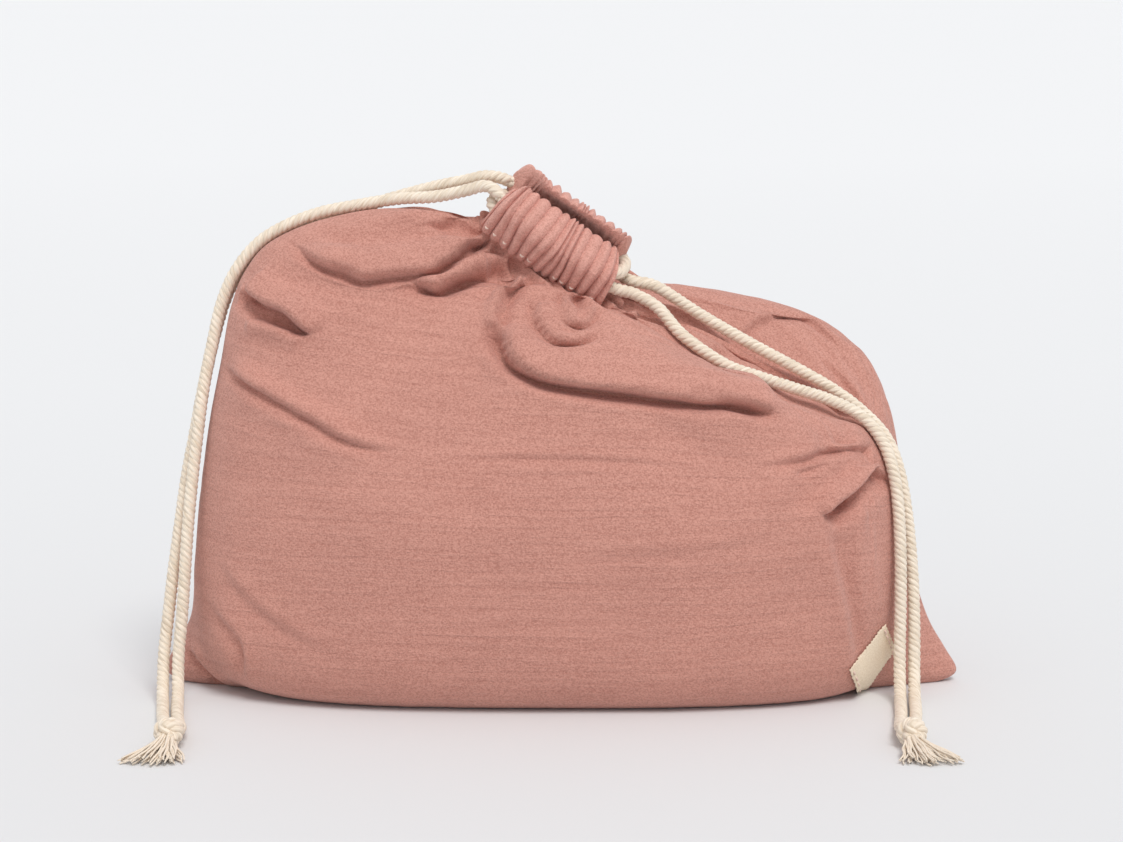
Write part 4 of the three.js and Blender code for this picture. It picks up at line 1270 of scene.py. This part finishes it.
# One cord's way through the wrap in millimetres, its first value from the knot's middle
CORE_ROUTE = [(2.8, -86.0, 5.7), (1.9, -90, 6.2), (1.5, -94, 6.0), (2.2, -97.2, 5.0)]
TASSEL_LENGTH = 20 * MM
TASSEL_HALF_WIDTH = 12 * MM
TASSEL_ROOT_HALF_WIDTH = 3 * MM
TASSEL_ROOT_LOW = 3.2 * MM
TASSEL_ROOT_DEPTH = 5 * MM
TASSEL_REST_DEPTH = 3.4 * MM
TASSEL_OVERLAP = 0.8 * MM
YARN_COUNT = 64
YARN_RADIUS = 0.5 * MM
YARN_STEPS = 12
YARN_SIDES = 5
# The least and the most of each yarn: its share of the tassel's length, and its curl in
# millimetres
YARN_LENGTHS = (0.78, 1.0)
YARN_CURLS = (0.3, 1.0)
CURL_TURN_ACROSS = 9
CURL_TURN_UP = 8
CURL_UP_SHARE = 0.4
# How much less than the middle yarns the outermost ones have: length, height at the knot and
# height at their tips
OUTER_LENGTH_LOSS = 0.12
OUTER_ROOT_LOSS = 0.5
OUTER_TIP_LOSS = 0.4
FAN_BEND = 1.25
FALL_BEND = 0.8
YARN_LOWEST = 1.05 * YARN_RADIUS
YARN_TAPER = 0.45
TASSEL_MAP_ALONG = 0.5
TASSEL_MAP_ROUND = 0.8


def knot_wrap(side):
    """One cord's end wrapped round the pair, with both of its ends tucked in."""
    centre = KNOT_CENTRES[side]
    turns = np.linspace(0, 1, WRAP_STEPS)
    angle = 2 * np.pi * WRAP_TURNS * turns + WRAP_START
    forward = KNOT_LENGTH / 2 + WRAP_HALF_LENGTH * (2 * turns - 1)
    wobble = 1 + WRAP_WOBBLE * np.sin(WOBBLES_PER_TURN * angle)
    wrap = np.stack([WRAP_RADIUS * np.cos(angle) * wobble, -forward,
                     WRAP_RADIUS * np.sin(angle) * WRAP_FLATNESS], -1) + centre
    tuck_in = wrap[0] + (centre - [0, TUCK_DEPTH, 0] - wrap[0]) * TUCK_SHARE
    tuck_out = wrap[-1] + (centre - [0, KNOT_LENGTH - TUCK_DEPTH, 0] - wrap[-1]) * TUCK_SHARE
    route = np.vstack([tuck_in, wrap, tuck_out]) / MM
    return twisted_cord(side + "_knot_wrap", route, WRAP_THICKNESS)[0]


def knot_core(side):
    """The pair of cords that runs through the wrap."""
    middle = KNOT_CENTRES[side][0] / MM
    made = []
    for number, sign in enumerate((-1, 1)):
        route = [(middle + sign * x, y, z) for x, y, z in CORE_ROUTE]
        made.append(twisted_cord(f"{side}_knot_core_{number + 1}", route, CORE_THICKNESS)[0])
    return made


def tassel_piece(side):
    """The combed-out ends: yarns that fan out from the knot and settle on the floor."""
    rng = np.random.default_rng(TASSEL_SEEDS[side])
    centre = KNOT_CENTRES[side]
    share = np.linspace(0, 1, YARN_STEPS)
    yarns = []
    for number in range(YARN_COUNT):
        lean = rng.uniform(-1, 1)
        layer = rng.uniform(0, 1)
        length = TASSEL_LENGTH * rng.uniform(*YARN_LENGTHS) * (1 - OUTER_LENGTH_LOSS * abs(lean))
        curl = rng.uniform(*YARN_CURLS) * MM * share
        phase = rng.uniform(0, 2 * np.pi)
        spread = lean * (TASSEL_HALF_WIDTH - TASSEL_ROOT_HALF_WIDTH) + TASSEL_SWAY[side]
        x = (centre[0] + lean * TASSEL_ROOT_HALF_WIDTH + spread * share ** FAN_BEND
             + curl * np.sin(CURL_TURN_ACROSS * share + phase))
        y = centre[1] - KNOT_LENGTH + TASSEL_OVERLAP - length * share
        root = TASSEL_ROOT_LOW + TASSEL_ROOT_DEPTH * layer * (1 - abs(lean) * OUTER_ROOT_LOSS)
        tip = YARN_RADIUS + TASSEL_REST_DEPTH * layer * (1 - abs(lean) * OUTER_TIP_LOSS)
        z = (root + (tip - root) * share ** FALL_BEND
             + CURL_UP_SHARE * curl * np.cos(CURL_TURN_UP * share + phase))
        line = np.stack([x, y, np.maximum(z, YARN_LOWEST)], -1)
        rings = tube_points(line, YARN_RADIUS * (1 - YARN_TAPER * share ** 3), YARN_SIDES)
        yarns.append((rings, share * length * TASSEL_MAP_ALONG,
                      np.arange(YARN_SIDES) * TASSEL_MAP_ROUND + number))
    return tubes_piece(side + "_tassel_yarns", yarns, CREAM_YARN)


# The scene's pieces

# How often the ways out of the cloth, its folds and its gathers by the neck are evened out
OUTWARD_SOFTENING = 40
FOLD_SOFTENING = 2
NECK_SOFTENING = 4
NECK_SOFT_START = 0.5 * FOLD_START
NECK_SOFT_END = 1.5 * FOLD_START

make_camera()

tails = {name: twisted_cord(name + "_rope", route) for name, route in TAIL_ROUTES.items()}

tassels, knots = {}, {}
for side in ("left", "right"):
    knots[side] = [knot_wrap(side)] + knot_core(side)
    tassels[side] = tassel_piece(side)
    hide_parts(side + "_knot")
    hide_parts(side + "_tassel")
    for piece in knots[side] + [tassels[side]]:
        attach(piece, side + "_pull")

plain = {side: panel_grid(side) for side in ("front", "back")}
maps_of_cloth = {side: cloth_map(grid) for side, grid in plain.items()}
cord_lines = [line for _, line, _ in tails.values()]
cloth_ring = join_panels(plain["front"], plain["back"])
outward = unit(soften(ring_normals(cloth_ring), OUTWARD_SOFTENING))
cloth_ring = soften(cloth_ring + press_moves(cloth_ring, outward)
                    + gather_moves(cloth_ring, outward), FOLD_SOFTENING)
cloth_ring = settle(cloth_ring, cord_lines)
cloth_ring = clear_of_cords(cloth_ring, cord_lines, CORD_DIAMETER / 2 + CORD_AIR)
by_neck = 1 - smooth_step(NECK_SOFT_START, NECK_SOFT_END, below_neck(cloth_ring))
cloth_ring += by_neck[..., None] * (soften(cloth_ring.copy(), NECK_SOFTENING) - cloth_ring)
finished = part_panels(above_floor(cloth_ring))
for side, grid in finished.items():
    rows, columns = grid.shape[:2]
    piece = mesh_piece(side + "_cloth", grid.reshape(-1, 3), grid_faces(rows, columns),
                       maps_of_cloth[side].reshape(-1, 2), ROSE)
    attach(piece, "bag")
    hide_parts(side + "_panel")
    hem = hem_piece(side)
    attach(hem, "bag")
    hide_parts(side + "_channel")

skin = Skin(finished["front"])
label = label_piece(skin)
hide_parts("side_label")
for piece in (label, label_stitches(skin), channel_stitches("front"), channel_stitches("back")):
    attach(piece, "bag")

for side in ("left", "right"):
    held = run_cord(side)
    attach(held, "bag")
    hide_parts(side + "_cord_run")

for tail_name, (piece, line, length) in tails.items():
    side = tail_name.split("_")[0]
    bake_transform(piece)
    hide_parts(tail_name, tail_name + "_end")


# Floor, light and the picture's tone

FLOOR_SIZE = 60
FLOOR_PLACE = (0, 25, 0)
SKY_COLOUR = (0.96, 0.98, 1, 1)
SKY_STRENGTH = 0.69
WINDOW_DIRECTION = (-0.2, 0.53, -0.95)
WINDOW_ANGLE = math.radians(26)
WINDOW_STRENGTH = 1.68
WINDOW_COLOUR = (1, 0.985, 0.965)


def make_stage():
    bpy.ops.mesh.primitive_plane_add(size=FLOOR_SIZE, location=FLOOR_PLACE)
    floor = bpy.context.object
    floor.name = "floor"
    floor.data.materials.append(floor_finish())


def make_light():
    """Light from all of the sky, and from a wide window before the bag."""
    world = bpy.data.worlds.new("studio")
    world.use_nodes = True
    sky = world.node_tree.nodes["Background"].inputs
    sky["Color"].default_value = SKY_COLOUR
    sky["Strength"].default_value = SKY_STRENGTH
    bpy.context.scene.world = world
    window = bpy.data.lights.new("window", "SUN")
    window.angle = WINDOW_ANGLE
    window.energy = WINDOW_STRENGTH
    window.color = WINDOW_COLOUR
    light = bpy.data.objects.new("window", window)
    light.rotation_euler = Vector(WINDOW_DIRECTION).to_track_quat("-Z", "Y").to_euler()
    bpy.context.scene.collection.objects.link(light)


make_stage()
make_light()
bpy.context.scene.view_settings.view_transform = "Standard"
